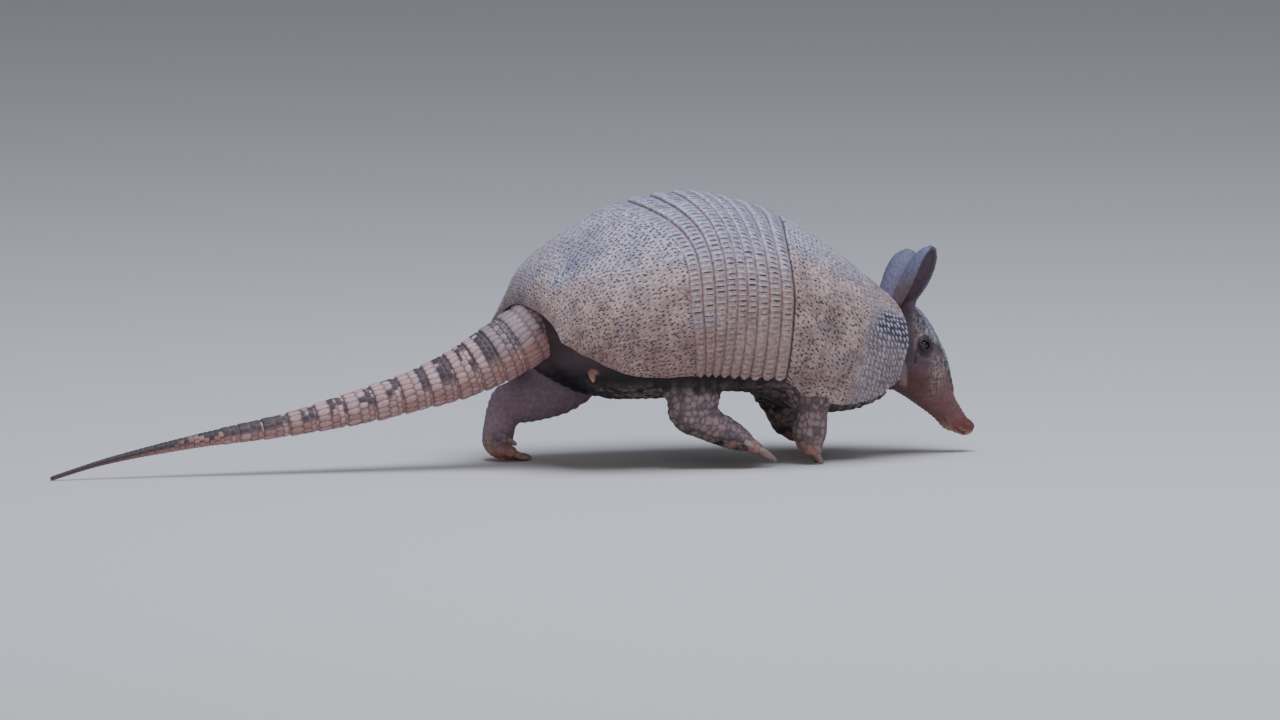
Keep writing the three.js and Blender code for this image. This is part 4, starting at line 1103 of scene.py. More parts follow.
def tube(centres, ups, sides, heights, widths):
    """A form along a line, oval across: half sizes along ups and sides at each centre."""
    def form(x, y, z):
        best = None
        for k in range(len(centres) - 1):
            a, b = centres[k], centres[k + 1]
            way = b - a
            size = float(way @ way)
            t = np.clip(((x - a[0]) * way[0] + (y - a[1]) * way[1] + (z - a[2]) * way[2]) / size, 0, 1)
            ex = x - (a[0] + way[0] * t)
            ey = y - (a[1] + way[1] * t)
            ez = z - (a[2] + way[2] * t)
            up, side = ups[k], sides[k]
            ahead = np.cross(up, side)
            h = heights[k] + (heights[k + 1] - heights[k]) * t
            w = widths[k] + (widths[k + 1] - widths[k]) * t
            least = np.minimum(h, w)
            u = (ex * up[0] + ey * up[1] + ez * up[2]) / h
            v = (ex * side[0] + ey * side[1] + ez * side[2]) / w
            q = (ex * ahead[0] + ey * ahead[1] + ez * ahead[2]) / least
            here = (np.sqrt(u * u + v * v + q * q) - 1) * least
            best = here if best is None else np.minimum(best, here)
        return best
    return form


def limb_form(rows, pieces=14, grow=0.0):
    """A form along rows of x y z, half height, half width, as the solids' limbs are made."""
    rows = np.asarray(rows, float)
    s = np.linspace(0, len(rows) - 1, pieces + 1)
    dense = smooth(rows, s)
    centres = dense[:, :3]
    ways = np.gradient(centres, axis=0)
    ways /= np.linalg.norm(ways, axis=1, keepdims=True)
    sides = np.array([0.0, 1.0, 0.0]) - ways * ways[:, 1:2]
    sides /= np.linalg.norm(sides, axis=1, keepdims=True)
    ups = np.cross(sides, ways)
    # the line's ends are drawn in, so that the rounded ends reach as far as the rows say
    least = np.minimum(dense[:, 3], dense[:, 4])
    centres = centres.copy()
    centres[0] = centres[0] + ways[0] * min(least[0] * 0.8, 6)
    centres[-1] = centres[-1] - ways[-1] * least[-1] * 0.8
    return tube(centres, ups, sides, dense[:, 3] + grow, dense[:, 4] + grow)


def blend_limb(rows, softness, pieces=14, grow=0.0):
    """Melts a limb into the skin."""
    rows = np.asarray(rows, float)
    room = rows[:, 3:].max() + 6 + softness
    blend_in(rows[:, :3].min(0) - room, rows[:, :3].max(0) + room, limb_form(rows, pieces, grow), softness)


# %% Distance to a surface made of faces
def form_of_faces(spots, faces, low, high, spacing):
    """The distance to a surface, measured at coarse points and eased in between."""
    surface = BVHTree.FromPolygons([Vector(p) for p in spots], [tuple(map(int, f)) for f in faces])
    lines = [np.arange(a, b + spacing, spacing) for a, b in zip(low, high)]
    measured = np.empty([len(line) for line in lines], np.float32)
    for j, y in enumerate(lines[1]):
        for k, z in enumerate(lines[2]):
            # a line through the form along X: places between its crossings are inside.
            # A line that grazes an edge crosses an odd number of times and is tried again.
            for attempt in range(6):
                crossings = []
                start = Vector((low[0] - 10, y + 0.003 + 0.05 * attempt, z + 0.007 + 0.03 * attempt))
                while True:
                    spot = surface.ray_cast(start, Vector((1, 0, 0)))[0]
                    if spot is None:
                        break
                    crossings.append(spot.x)
                    start.x = spot.x + 0.01
                if len(crossings) % 2 == 0:
                    break
            for i, x in enumerate(lines[0]):
                away = surface.find_nearest(Vector((x, y, z)))[3]
                inside = sum(c < x for c in crossings) % 2
                measured[i, j, k] = -away if inside else away

    def form(x, y, z):
        out = measured
        for axis, wanted in enumerate((x.ravel(), y.ravel(), z.ravel())):
            place = np.clip((wanted - low[axis]) / spacing, 0, len(lines[axis]) - 1.001)
            i = place.astype(int)
            f = (place - i).astype(np.float32)
            shape = [1, 1, 1]
            shape[axis] = -1
            out = (np.take(out, i, axis) * (1 - f).reshape(shape)
                   + np.take(out, i + 1, axis) * f.reshape(shape))
        return out
    return form


# %% Trunk, neck and root of the tail
FLESH_DEPTH = 3.9
SHELL_TURN_SHARE = 0.74
TRUNK_ENDS = (0.55, 13.7)


def trunk_surface(rows=64, columns=96):
    """Points and faces of the trunk: under the shell, then round the belly."""
    s = np.linspace(*TRUNK_ENDS, rows)[:, None]
    turn = np.linspace(-np.pi, np.pi, columns, endpoint=False)[None, :]
    s, turn = np.broadcast_arrays(s, turn)
    share = np.abs(turn) / np.pi
    side = np.where(turn < 0, -1.0, 1.0)
    a = side * np.minimum(share / SHELL_TURN_SHARE, 1)
    base = shell_point(s, a) - shell_normal(s, a) * FLESH_DEPTH
    belly = smooth(BODY_SECTIONS, s)[..., 8]
    under = np.pi / 2 * np.clip((share - SHELL_TURN_SHARE) / (1 - SHELL_TURN_SHARE), 0, 1)
    low = share > SHELL_TURN_SHARE
    y = np.where(low, base[..., 1] * np.cos(under), base[..., 1])
    z = np.where(low, base[..., 2] - (base[..., 2] - belly) * np.sin(under), base[..., 2])
    spots = np.stack([base[..., 0], y, z], -1).reshape(-1, 3)
    ends = [spots[:columns].mean(0), spots[-columns:].mean(0)]
    faces = [*grid_faces(rows, columns, closed=True),
             *np.concatenate(end_fans(rows * columns, columns))]
    return np.concatenate([spots, ends]), faces


trunk_spots, trunk_faces = trunk_surface()
trunk_form = form_of_faces(trunk_spots, trunk_faces, (-108, -80, 24), (200, 80, 194), 4.5)
blend_in((-108, -80, -4), (198, 80, 194), trunk_form, 0.5)
print("trunk drawn")

NECK_ROWS = [[158, 0, 78, 30, 31], [176, 0, 77, 29.5, 30], [192, 0, 76, 27, 25]]
blend_limb(NECK_ROWS, 3)
tail_root = np.linspace(0, TAIL_BASE_LENGTH + 6, 9)
root_at, root_side, root_up, root_radius = tail_frame(tail_root)
root_form = tube(root_at, root_up, root_side, root_radius - 0.8, root_radius - 0.8)
blend_in((-125, -30, 55), (-50, 30, 135), root_form, 4)

# %% [markdown]
# ## Legs and feet
# The legs are short and strong. One hind foot swings forward just off the ground and the
# other pushes off behind; the fore feet stand on their claw tips. Every limb is a smooth
# line with an oval section that changes along it, and the toes are small limbs of their
# own that melt into the foot.

# %% Legs, feet and toes
LEGS = {
    "hind_right": [[22, -34, 92, 24, 14], [23, -46, 62, 20.5, 13.5], [23, -50, 48, 18.5, 13],
                   [22, -50, 34, 12, 12]],
    "hind_left": [[-26, 32, 82, 26, 15], [-42, 43, 56.5, 23, 15], [-66, 45, 44.5, 18, 14],
                  [-86, 45, 38, 12.5, 12]],
    "front_right": [[112, -26, 74, 19, 12], [112, -37, 52, 14.5, 12.5], [112, -42, 38, 12, 11],
                    [111, -42, 20, 11.5, 10.5]],
    "front_left": [[104, 26, 70, 19, 12], [108, 36, 48, 14.5, 12.5], [116, 41, 34, 12, 11],
                   [123, 42, 19, 11, 10.5]],
}
FEET = {
    "hind_right": [[11, -50, 42, 8, 9], [21, -50, 37, 11.5, 11], [37, -50, 30, 11.8, 12.5],
                   [53, -50, 22, 9.5, 13.5], [62, -50, 17.5, 6, 12.5]],
    "hind_left": [[-83, 45, 47, 9, 10], [-86.5, 45, 36, 11.3, 11], [-89, 45, 24, 11.4, 11.5],
                  [-90.5, 45, 14, 10.5, 13], [-88.5, 45, 8, 7, 12.5]],
    "front_right": [[111, -42, 34, 10, 10], [110.7, -42, 24, 11.3, 11], [111, -42.5, 17, 10, 12],
                    [112, -42.5, 13, 6.5, 11]],
    "front_left": [[117, 42, 33, 10, 10], [123, 42, 23, 11, 11], [128.5, 42.5, 16, 9.5, 12],
                   [132, 42.5, 12, 6, 11]],
}
# side, set back, reach, radius and claw length of each toe, from the outermost
HIND_TOES = [[-11.5, 11, 8, 3.6, 9], [-6.8, 2, 13, 4.4, 13.5], [0, 0, 15, 4.8, 15],
             [6.8, 2, 13, 4.4, 13.5], [11.5, 11, 8, 3.6, 9]]
FRONT_TOES = [[-9, 3.5, 5, 3.4, 8], [-3.8, 0, 9, 4.2, 11], [3.8, 0, 9, 4.2, 11], [9, 3.5, 5, 3.4, 8]]
# the toes' way, the claw tips' way, and the side on which the outermost toe lies
TOE_POSES = {
    "hind_right": (HIND_TOES, [0.86, 0, -0.5], [0.84, 0, -0.54], -1),
    "hind_left": (HIND_TOES, [0.88, 0, -0.42], [0.86, 0, -0.5], 1),
    "front_right": (FRONT_TOES, [0.4, 0, -0.92], [0.5, 0, -0.87], -1),
    "front_left": (FRONT_TOES, [0.7, 0, -0.7], [0.78, 0, -0.62], 1),
}


def unit(way):
    """The direction of a vector, one long."""
    way = np.asarray(way, float)
    return way / np.linalg.norm(way)


def toes_of(name):
    """Each toe's knuckle and tip, its radius, and its claw's tip and way."""
    toes, ahead, claw_way, outside = TOE_POSES[name]
    ahead, claw_way = unit(ahead), unit(claw_way)
    sole_end = np.array(FEET[name][-1][:3], float)
    foot_way = unit(sole_end - np.array(FEET[name][-2][:3], float))
    for side, set_back, reach, radius, claw in toes:
        knuckle = sole_end + [0, -outside * side, 0] - foot_way * set_back - ahead * 4
        way = unit(ahead + [0, -outside * side / 60, 0])
        tip = knuckle + way * reach
        yield knuckle, tip, radius, claw, way, claw_way


for name, rows in LEGS.items():
    blend_limb(rows, 9)
    blend_limb(FEET[name], 3, grow=-0.2)
    for knuckle, tip, radius, *_ in toes_of(name):
        toe_rows = [[*knuckle, radius, radius], [*mixed(knuckle, tip, 0.6), radius * 1.02, radius],
                    [*tip, radius * 0.8, radius * 0.85]]
        blend_limb(toe_rows, 0.9, 5)
print("limbs drawn")

# %% [markdown]
# ## Head and ears
# The head is long and narrow and points steeply down. It is drawn from sections between
# the crown and the throat. Lids, brow, the fold behind the cheek, nostrils, the mouth and
# the nose pad are small forms blended in or carved out. Each ear is a thin leaf rolled
# into a funnel, given as a curved sheet and then thickened.

# %% Head sections
HEAD_SECTIONS = [  # crown x z, throat x z, half width, from the nape to the nose
    [193.5, 109, 180, 50, 25], [203, 100.5, 188, 45, 24.5], [213.5, 86, 197, 39.5, 23],
    [221, 72.5, 205, 34, 19.5], [226, 57, 212.5, 28.5, 14.5], [229.8, 43, 219, 23, 10.8],
    [235.2, 34, 225, 17, 8.8], [240.5, 25.5, 231, 14.8, 7.8], [245, 18.4, 239, 12.8, 6],
]
EYE_PLACE = np.array([202.4, 19.9, 78.4])
EYE_RADIUS = 4.0


def head_point(s, turn, outward=0.0):
    """Points of the head: s counts its sections, turn goes round from the crown."""
    row = smooth(HEAD_SECTIONS, s)
    zero = np.zeros_like(row[..., 0])
    crown = np.stack([row[..., 0], zero, row[..., 1]], -1)
    throat = np.stack([row[..., 2], zero, row[..., 3]], -1)
    middle = (crown + throat) / 2
    up = crown - middle
    half = np.linalg.norm(up, axis=-1)
    up = up / half[..., None]
    lift = (half + outward) * np.cos(turn)
    reach = (row[..., 4] + outward) * np.sin(turn)
    return middle + up * lift[..., None] + np.stack([zero, reach, zero], -1)


head_s = np.linspace(0, 8, 41)
head_rows = smooth(HEAD_SECTIONS, head_s)
head_middles = head_point(head_s, np.zeros(41), 0) * 0.5 + head_point(head_s, np.full(41, np.pi), 0) * 0.5
head_ups = head_point(head_s, np.zeros(41)) - head_middles
head_heights = np.linalg.norm(head_ups, axis=1)
head_ups /= head_heights[:, None]


def head_form(x, y, z):
    """The head, as flat oval slices between its sections."""
    best = None
    for k in range(40):
        a, b = head_middles[k], head_middles[k + 1]
        up = head_ups[k]
        ahead = np.array([-up[2], 0, up[0]])
        ahead = ahead * np.sign(ahead @ (b - a))
        size = float(ahead @ (b - a))
        t = np.clip(((x - a[0]) * ahead[0] + (z - a[2]) * ahead[2]) / size, 0, 1)
        ex = x - (a[0] + (b - a)[0] * t)
        ez = z - (a[2] + (b - a)[2] * t)
        h = head_heights[k] + (head_heights[k + 1] - head_heights[k]) * t
        w = head_rows[k, 4] + (head_rows[k + 1, 4] - head_rows[k, 4]) * t
        least = np.minimum(h, w)
        u = (ex * up[0] + ez * up[2]) / h
        v = y / w
        q = (ex * ahead[0] + ez * ahead[2]) / (0.5 * least)
        here = (np.sqrt(u * u + v * v + q * q) - 1) * least
        best = here if best is None else np.minimum(best, here)
    return best


def ball(centre, radius, squash=(1, 1, 1)):
    """A ball, or an egg if squashed."""
    def form(x, y, z):
        return (np.sqrt(((x - centre[0]) / squash[0]) ** 2 + ((y - centre[1]) / squash[1]) ** 2
                        + ((z - centre[2]) / squash[2]) ** 2) - radius)
    return form


def cord_form(points, radius):
    """A thin round form along points."""
    points = np.asarray(points, float)
    flat = np.tile([0.0, 0.0, 1.0], (len(points), 1))
    side = np.tile([0.0, 1.0, 0.0], (len(points), 1))
    radii = np.broadcast_to(np.asarray(radius, float), (len(points),))
    return tube(points, flat, side, radii, radii)


blend_in((165, -40, 4), (252, 40, 122), head_form, 5)
# nose pad, brow ridges and the jaw's fullness
blend_in((228, -14, 4), (252, 14, 32), ball((241.2, 0, 17.5), 5.4, (1, 1.15, 0.95)), 2.5)
for side in (-1, 1):
    brow = [head_point(np.array(s), np.array(side * t), 0.2) for s, t in
            ((1.6, 0.62), (2.2, 0.70), (2.8, 0.80), (3.5, 0.95))]
    blend_in((185, -34, 40), (240, 34, 110), cord_form(brow, [1.4, 2.0, 1.8, 1.0]), 3)
    cheek = [head_point(np.array(s), np.array(side * t), -1.5)
             for s, t in ((0.9, 1.95), (2.0, 1.85), (3.2, 1.9))]
    blend_in((170, -34, 20), (235, 34, 100), cord_form(cheek, [5.0, 4.5, 3.0]), 5)
    # the fold of skin that runs down behind the cheek, beside the rim of the shell
    fold = [head_point(np.array(0.62 - 0.1 * math.sin(3 * t)), np.array(side * t), 0.9)
            for t in np.linspace(0.72, 2.0, 9)]
    blend_in((165, -40, 30), (215, 40, 120), cord_form(fold, np.linspace(1.9, 1.3, 9)), 1.4)
    groove = [head_point(np.array(0.95 - 0.1 * math.sin(3 * t)), np.array(side * t), 1.0)
              for t in np.linspace(0.8, 1.9, 9)]
    carve_out((165, -40, 30), (215, 40, 120), cord_form(groove, 1.1), 1.2)
print("head drawn")

# %% Ears
EARS = {"left": (1, [186, 14, 103], [208.5, 27, 139.5]), "right": (-1, [184.5, -15, 105], [207, -28, 147])}
EAR_FLAT_WIDTH = 45
EAR_SET = 0.25  # how far the roll's axis lies in front of the ear's line, in its radii
EAR_THICKNESS = 1.6


def ear_shape(side, base, tip, height):
    """An ear's root, spine and opening way, and its roll's radius and half turn at each height."""
    root = np.array(base, float)
    spine = np.array(tip, float) - root
    axis = unit(spine)
    opening = np.array([0.64, side * 0.77, -0.2])
    front = unit(opening - axis * (opening @ axis))
    leaf = 1.05 * (0.5 + 1.3 * height) * np.maximum(1 - height, 0.02) ** 0.55
    curl = np.radians(110 - 35 * height**2)
    return root, spine, front, (EAR_FLAT_WIDTH / 2) * leaf / curl, curl


def ear_sheet(side, base, tip, rows=49, columns=57):
    """The middle sheet of an ear, rolled so that it opens forward and outward."""
    height = np.linspace(0, 1, rows)[:, None]
    root, spine, front, radius, curl = ear_shape(side, base, tip, height)
    sideways = np.cross(unit(spine), front)
    turn = np.linspace(-1, 1, columns)[None, :] * curl
    return (root + spine * height[..., None]
            + front * (radius * EAR_SET - radius * np.cos(turn))[..., None]
            + sideways * (radius * np.sin(turn))[..., None])


for side, base, tip in EARS.values():
    sheet = ear_sheet(side, base, tip)
    spots = sheet.reshape(-1, 3)
    faces = grid_faces(*sheet.shape[:2])
    low, high = spots.min(0) - 5, spots.max(0) + 5
    leaf_tree = BVHTree.FromPolygons([Vector(p) for p in spots], [tuple(map(int, f)) for f in faces])
    cuts = part_of_grid(low, high)
    ex, ey, ez = places_in(cuts)
    measured = np.full((ex.size, ey.size, ez.size), 9.0, np.float32)
    for i, x in enumerate(ex.ravel()):
        for j, y in enumerate(ey.ravel()):
            for k, z in enumerate(ez.ravel()):
                hit = leaf_tree.find_nearest(Vector((x, y, z)), 5.0)
                if hit[0] is not None:
                    # thinner towards the tip
                    rise = float(np.clip((z - base[2]) / (tip[2] - base[2]), 0, 1))
                    measured[i, j, k] = hit[3] - (EAR_THICKNESS / 2 + 0.35 - 0.2 * rise)
    blend_in(low, high, lambda x, y, z, m=measured: m, 2.2)
    # the root of the ear stands on a low mound of muscle
    blend_in((170, -34, 85), (215, 34, 125), ball((190, side * 14, 104), 7, (1.1, 0.9, 0.9)), 5)
print("ears drawn")

# %% Eyes, nostrils and mouth in the skin
head_way = unit([0.74, 0, -0.67])
for side in (-1, 1):
    centre = EYE_PLACE * [1, side, 1]
    out = unit([0.24, side * 0.95, 0.12])
    long_way = unit(head_way - out * (head_way @ out))
    short_way = np.cross(out, long_way)

    def slit(x, y, z):
        """The almond opening between the lids."""
        ex, ey, ez = x - centre[0], y - centre[1], z - centre[2]
        u = ex * long_way[0] + ey * long_way[1] + ez * long_way[2]
        v = ex * short_way[0] + ey * short_way[1] + ez * short_way[2]
        depth = ex * out[0] + ey * out[1] + ez * out[2]
        almond = np.sqrt((u / 3.8) ** 2 + ((v + 0.03 * u * u) / 2.4) ** 2) - 1
        return np.maximum(almond * 2.4, -(depth - 1.2))

    low, high = centre - 12, centre + 12
    blend_in(low, high, ball(centre + out * 0.3, 5.0), 3.0)
    carve_out(low, high, ball(centre, 4.05), 0.1)
    carve_out(low, high, slit, 0.3)
    # creases above and below the lids
    for reach, depth in ((7.0, 0.9), (9.8, 0.8)):
        for half in (-1, 1):
            turns = np.linspace(-0.9, 0.9, 9)
            line = [centre + out * (3.2 - 0.35 * (reach - 7)) + long_way * (reach * math.sin(t))
                    + short_way * (half * reach * 0.78 * math.cos(t)) for t in turns]
            carve_out(low - 4, high + 4, cord_form(line, depth), 1.4)
    nostril = np.array([244.3, side * 3.3, 15.4])
    carve_out(nostril - 5, nostril + 5, cord_form([nostril + [2, side * 0.8, -0.3], nostril - [1.5, 0, -0.6]],
                                                  [1.35, 1.0]), 0.6)
    mouth = [head_point(np.array(s), np.array(side * t), 0.0) for s, t in
             ((5.2, 2.05), (5.9, 2.12), (6.6, 2.2), (7.2, 2.3), (7.8, 2.42))]
    carve_out((214, -14, 8), (246, 14, 34), cord_form(mouth, [0.3, 0.6, 0.7, 0.7, 0.6]), 0.5)
    lip = [p + [0, 0, -1.5] for p in mouth]
    blend_in((214, -14, 6), (246, 14, 34), cord_form(lip, [0.9, 1.2, 1.3, 1.2, 0.9]), 0.9)

# the teats of the groin
for side in (-1, 1):
    root, end = np.array([-52, side * 50, 72.5]), np.array([-53, side * 57, 65.5])
    teat = tube([root, mixed(root, end, 0.6), end], np.tile([1.0, 0, 0], (3, 1)),
                np.tile([0, 0.7, 0.7], (3, 1)), [2.8, 2.3, 1.5], [2.8, 2.3, 1.5])
    blend_in(root - 16, root + 16, teat, 2.0)

# nothing of the animal goes under the floor
skin_field = np.maximum(skin_field, (0.3 - grid_z)[None, None, :].astype(np.float32))
# the root of the tail is closed off where the grid ends
skin_field[0] = 1.0
print("face carved")

# %% [markdown]
# ## Drawing the skin
# The grid now says how far each of its points is from the skin. In every small box where
# that changes sign one point is set at the middle of the crossings, and neighbouring boxes
# are joined by a face. This gives even four-sided faces with no poles and no seams.

# %% Surface from distances
def draw_surface(field):
    """Points and faces where the field is zero."""
    inside = field < 0
    total = np.zeros(np.array(field.shape) - 1, np.int8)
    for step in product((0, 1), repeat=3):
        total += inside[tuple(slice(d, d + size) for d, size in zip(step, total.shape))]
    i, j, k = np.nonzero((total > 0) & (total < 8))
    number = np.full(total.shape, -1, np.int32)
    number[i, j, k] = np.arange(len(i))
    summed = np.zeros((len(i), 3))
    crossings = np.zeros(len(i))
    lines = (grid_x, grid_y, grid_z)
    for axis, da, db in product(range(3), (0, 1), (0, 1)):
        others = [n for n in range(3) if n != axis]
        start = [i, j, k]
        start[others[0]] = start[others[0]] + da
        start[others[1]] = start[others[1]] + db
        stop = list(start)
        stop[axis] = stop[axis] + 1
        f0, f1 = field[tuple(start)], field[tuple(stop)]
        crossed = (f0 < 0) != (f1 < 0)
        t = np.where(crossed, f0 / np.where(crossed, f0 - f1, 1), 0)
        for n in range(3):
            at = lines[n][start[n]] + (lines[n][stop[n]] - lines[n][start[n]]) * t
            summed[:, n] += np.where(crossed, at, 0)
        crossings += crossed
    spots = summed / crossings[:, None]
    faces = []
    for axis in range(3):
        cut_a = [slice(None)] * 3
        cut_b = [slice(None)] * 3
        cut_a[axis] = slice(0, -1)
        cut_b[axis] = slice(1, None)
        first, second = inside[tuple(cut_a)], inside[tuple(cut_b)]
        ei, ej, ek = np.nonzero(first != second)
        edge = [ei, ej, ek]
        others = [n for n in range(3) if n != axis]
        ring = []
        for da, db in ((-1, -1), (0, -1), (0, 0), (-1, 0)):
            cell = [e.copy() for e in edge]
            cell[others[0]] = cell[others[0]] + da
            cell[others[1]] = cell[others[1]] + db
            ring.append(number[tuple(cell)])
        quad = np.stack(ring, 1)
        flip = first[ei, ej, ek]
        if axis == 1:
            flip = ~flip
        quad[~flip] = quad[~flip][:, ::-1]
        faces.append(quad)
    return spots, np.concatenate(faces)


skin_spots, skin_faces = draw_surface(skin_field)
print("skin before folds:", len(skin_spots), "points", len(skin_faces), "faces")

# %% [markdown]
# ## Folds, scales and colour of the skin
# Bare armadillo skin is leathery. The legs carry a mosaic of small tan scales on dark
# skin, the belly is wrinkled across, the cheeks are red-brown and the snout is pink and
# ringed with fine wrinkles. The downward-facing belly and the skin under the shell's rim
# are painted near-black or dark brown as shade. Each point of the skin is moved a little
# along its own outward direction by the folds and scales of its region, and keeps its colour.

# %% Outward directions
def outward_of(spots, faces):
    """The outward direction at each point."""
    a, b, c, d = (spots[faces[:, n]] for n in range(4))
    normal = np.cross(c - a, d - b)
    out = np.zeros_like(spots)
    for n in range(4):
        np.add.at(out, faces[:, n], normal)
    return out / np.maximum(np.linalg.norm(out, axis=1, keepdims=True), 1e-9)


skin_out = outward_of(skin_spots, skin_faces)
x, y, z = skin_spots.T
on_head = ramp(x + 0.25 * (z - 60), 178, 186) * ramp(z, 0, 8)
head_along = (x - 190) * 0.42 + (100 - z) * 0.82  # millimetres from the nape towards the nose
leg_mask = ramp(-z, -66, -50) * (1 - on_head)
foot_low = ramp(-z, -24, -12) * (1 - on_head)
in_ear = np.zeros(len(x))
ear_back = np.zeros(len(x))
for side, base, tip in EARS.values():
    root, spine = np.array(base, float), np.array(tip, float) - np.array(base, float)
    rise = ((skin_spots - root) @ spine) / (spine @ spine)
    near = (y * side > 4) & (x > 178) & (rise > 0.04)
    height_gate = ramp(rise, 0.05, 0.2) * near
    in_ear = np.maximum(in_ear, height_gate)
    height = np.clip(rise, 0, 1)
    root, spine, front, radius, curl = ear_shape(side, base, tip, height)
    middle = root + spine * height[:, None]
    from_axis = np.linalg.norm(skin_spots - middle - front * (EAR_SET * radius)[:, None], axis=1)
    ear_back = np.maximum(ear_back, height_gate * ramp(from_axis - radius, -0.5, 0.6))
belly_mask = ramp(-skin_out[:, 2], 0.1, 0.7) * ramp(-z, -80, -60) * (1 - on_head)
print("regions marked")

# %% Folds and scales
hind_left_leg = ramp(y, 10, 25) * ramp(-x, 10, 30)
scaly = leg_mask * (1 - 0.85 * hind_left_leg * ramp(z, 14, 24)) * ramp(np.abs(y), 22, 32)
_, scale_edge, scale_own = scale_cells(skin_spots * [1, 1, 0.85], 4.6, 11)
seams_of_scales = 1 - ramp(scale_edge, 0.15, 1.3)
fine_middle, fine_edge, fine_own = scale_cells(skin_spots, 2.4, 12)
fine_seams = 1 - ramp(fine_edge, 0.1, 0.8)
lift = scaly * (0.35 * (1 - seams_of_scales) - 0.2)
cheek_scales = on_head * ramp(z, 34, 44) * ramp(-z, -76, -66) * ramp(x, 203, 211)
temple_scales = on_head * ramp(z, 80, 86) * ramp(-z, -108, -98) * ramp(x, 192, 198) * (1 - in_ear)
cheek_scales = np.maximum(cheek_scales, temple_scales)
lift += 0.16 * cheek_scales * (1 - fine_seams)
lift += 0.22 * ear_back * (1 - fine_seams)
# belly wrinkles run across, and the snout is ringed
wrinkle_place = x + 2.2 * soft_noise(skin_spots, 14, 21) + 0.05 * np.abs(y)
lift += 0.55 * belly_mask * np.sin(2 * np.pi * wrinkle_place / 6.5) * ramp(-np.abs(y), -52, -30)
snout = on_head * ramp(head_along, 40, 62)
ring_place = head_along + 1.6 * soft_noise(skin_spots, 7, 22)
lift += 0.20 * snout * np.sin(2 * np.pi * ring_place / 2.9)
lift += 0.35 * (1 - in_ear) * soft_noise(skin_spots, 9, 23) * (0.4 + 0.6 * on_head)
knee_fold = leg_mask * ramp(-z, -58, -44) * ramp(z, 30, 38)
lift += 0.35 * knee_fold * np.sin(2 * np.pi * (z + 2 * soft_noise(skin_spots, 10, 24)) / 5.0)
skin_spots = skin_spots + skin_out * lift[:, None]
skin_spots[:, 2] = np.maximum(skin_spots[:, 2], 0.25)
print("folds raised")


# %% Skin colours
def tint(code):
    """A colour code as three linear numbers."""
    return np.array(linear(code)[:3])


def lay(colours, code, share):
    """Lays a colour over the skin where share is above 0."""
    return mixed(colours, tint(code), np.clip(share, 0, 1)[:, None])


mottle = soft_noise(skin_spots, 8, 31)
fine_mottle = soft_noise(skin_spots, 3, 32)
skin_tone = np.tile(tint("#6a5b5e"), (len(x), 1))
# painted shade: skin under the shell's rim is darkened, dark brown at the rear and near-black from the middle
# forward
skin_tone = lay(skin_tone, "#4a393c", ramp(z, 46, 60) * (1 - on_head))
skin_tone = lay(skin_tone, "#150f10", ramp(z, 46, 60) * (1 - on_head) * ramp(x, -70, -25))
# painted shade: the downward-facing belly is painted near-black
skin_tone = lay(skin_tone, "#150f10", belly_mask)
for side in (-1, 1):
    to_teat = np.linalg.norm(skin_spots - [-53, side * 56, 67], axis=1)
    skin_tone = lay(skin_tone, "#a87c6e", ramp(-to_teat, -7.5, -4))
skin_tone = lay(skin_tone, "#7f6b74", hind_left_leg * ramp(-z, -84, -64))
skin_tone = lay(skin_tone, "#8f7b85", hind_left_leg * ramp(-z, -44, -24) * (0.6 + 0.4 * mottle))
tan_scale = scaly * (1 - 0.75 * seams_of_scales) * ramp(scale_own + 0.5 * mottle + 0.1, 0.15, 0.6)
skin_tone = lay(skin_tone, "#4c3e41", 0.4 * leg_mask * ramp(x, 70, 90))
skin_tone = lay(skin_tone, "#a08a84", 0.6 * tan_scale)
skin_tone = lay(skin_tone, "#43383a", 0.5 * scaly * seams_of_scales)
warm_toes = foot_low * ramp(0.5 + mottle * 0.5, 0.2, 0.7) * (1 - 0.6 * hind_left_leg)
skin_tone = lay(skin_tone, "#a87c6e", warm_toes * 0.8)
skin_tone = lay(skin_tone, "#b98476", ramp(-z, -14, -5) * (1 - on_head) * 0.7)
# head: red-brown cheeks, pink snout, dark round the eye
skin_tone = lay(skin_tone, "#4f4045", on_head)
skin_tone = lay(skin_tone, "#634340", on_head * ramp(-z + 8 * mottle, -76, -50) * ramp(-head_along, -66, -40))
skin_tone = lay(skin_tone, "#282329", 0.9 * cheek_scales * ramp(fine_own + 0.6 * mottle, 0.2, 0.5))
skin_tone = lay(skin_tone, "#a8968e", 0.7 * cheek_scales * fine_seams)
skin_tone = lay(skin_tone, "#7c5450", snout * (0.8 + 0.2 * fine_mottle))
skin_tone = lay(skin_tone, "#6f3c38", on_head * ramp(head_along, 76, 86))
under_chin = on_head * ramp(-skin_out[:, 2], 0.2, 0.8) * ramp(head_along, 40, 60)
skin_tone = lay(skin_tone, "#a98a76", 0.8 * under_chin * ramp(head_along, 66, 74) * ramp(-z, -24, -19))
for side in (-1, 1):
    to_eye = np.linalg.norm(skin_spots - EYE_PLACE * [1, side, 1], axis=1)
    skin_tone = lay(skin_tone, "#3a2f31", ramp(-to_eye, -8.5, -5.5))
    skin_tone = lay(skin_tone, "#8d7a78", 0.5 * ramp(-np.abs(to_eye - 10), -2.5, -1.0) * (0.5 + 0.5 * mottle))
fold_mask = on_head * ramp(-np.abs(x + 0.28 * (z - 60) - 186.5), -3.4, -1.5)
fold_mask = fold_mask * ramp(np.abs(y), 12, 18) * (z < 108)
skin_tone = lay(skin_tone, "#a28a84", 0.6 * fold_mask * (1 - in_ear))
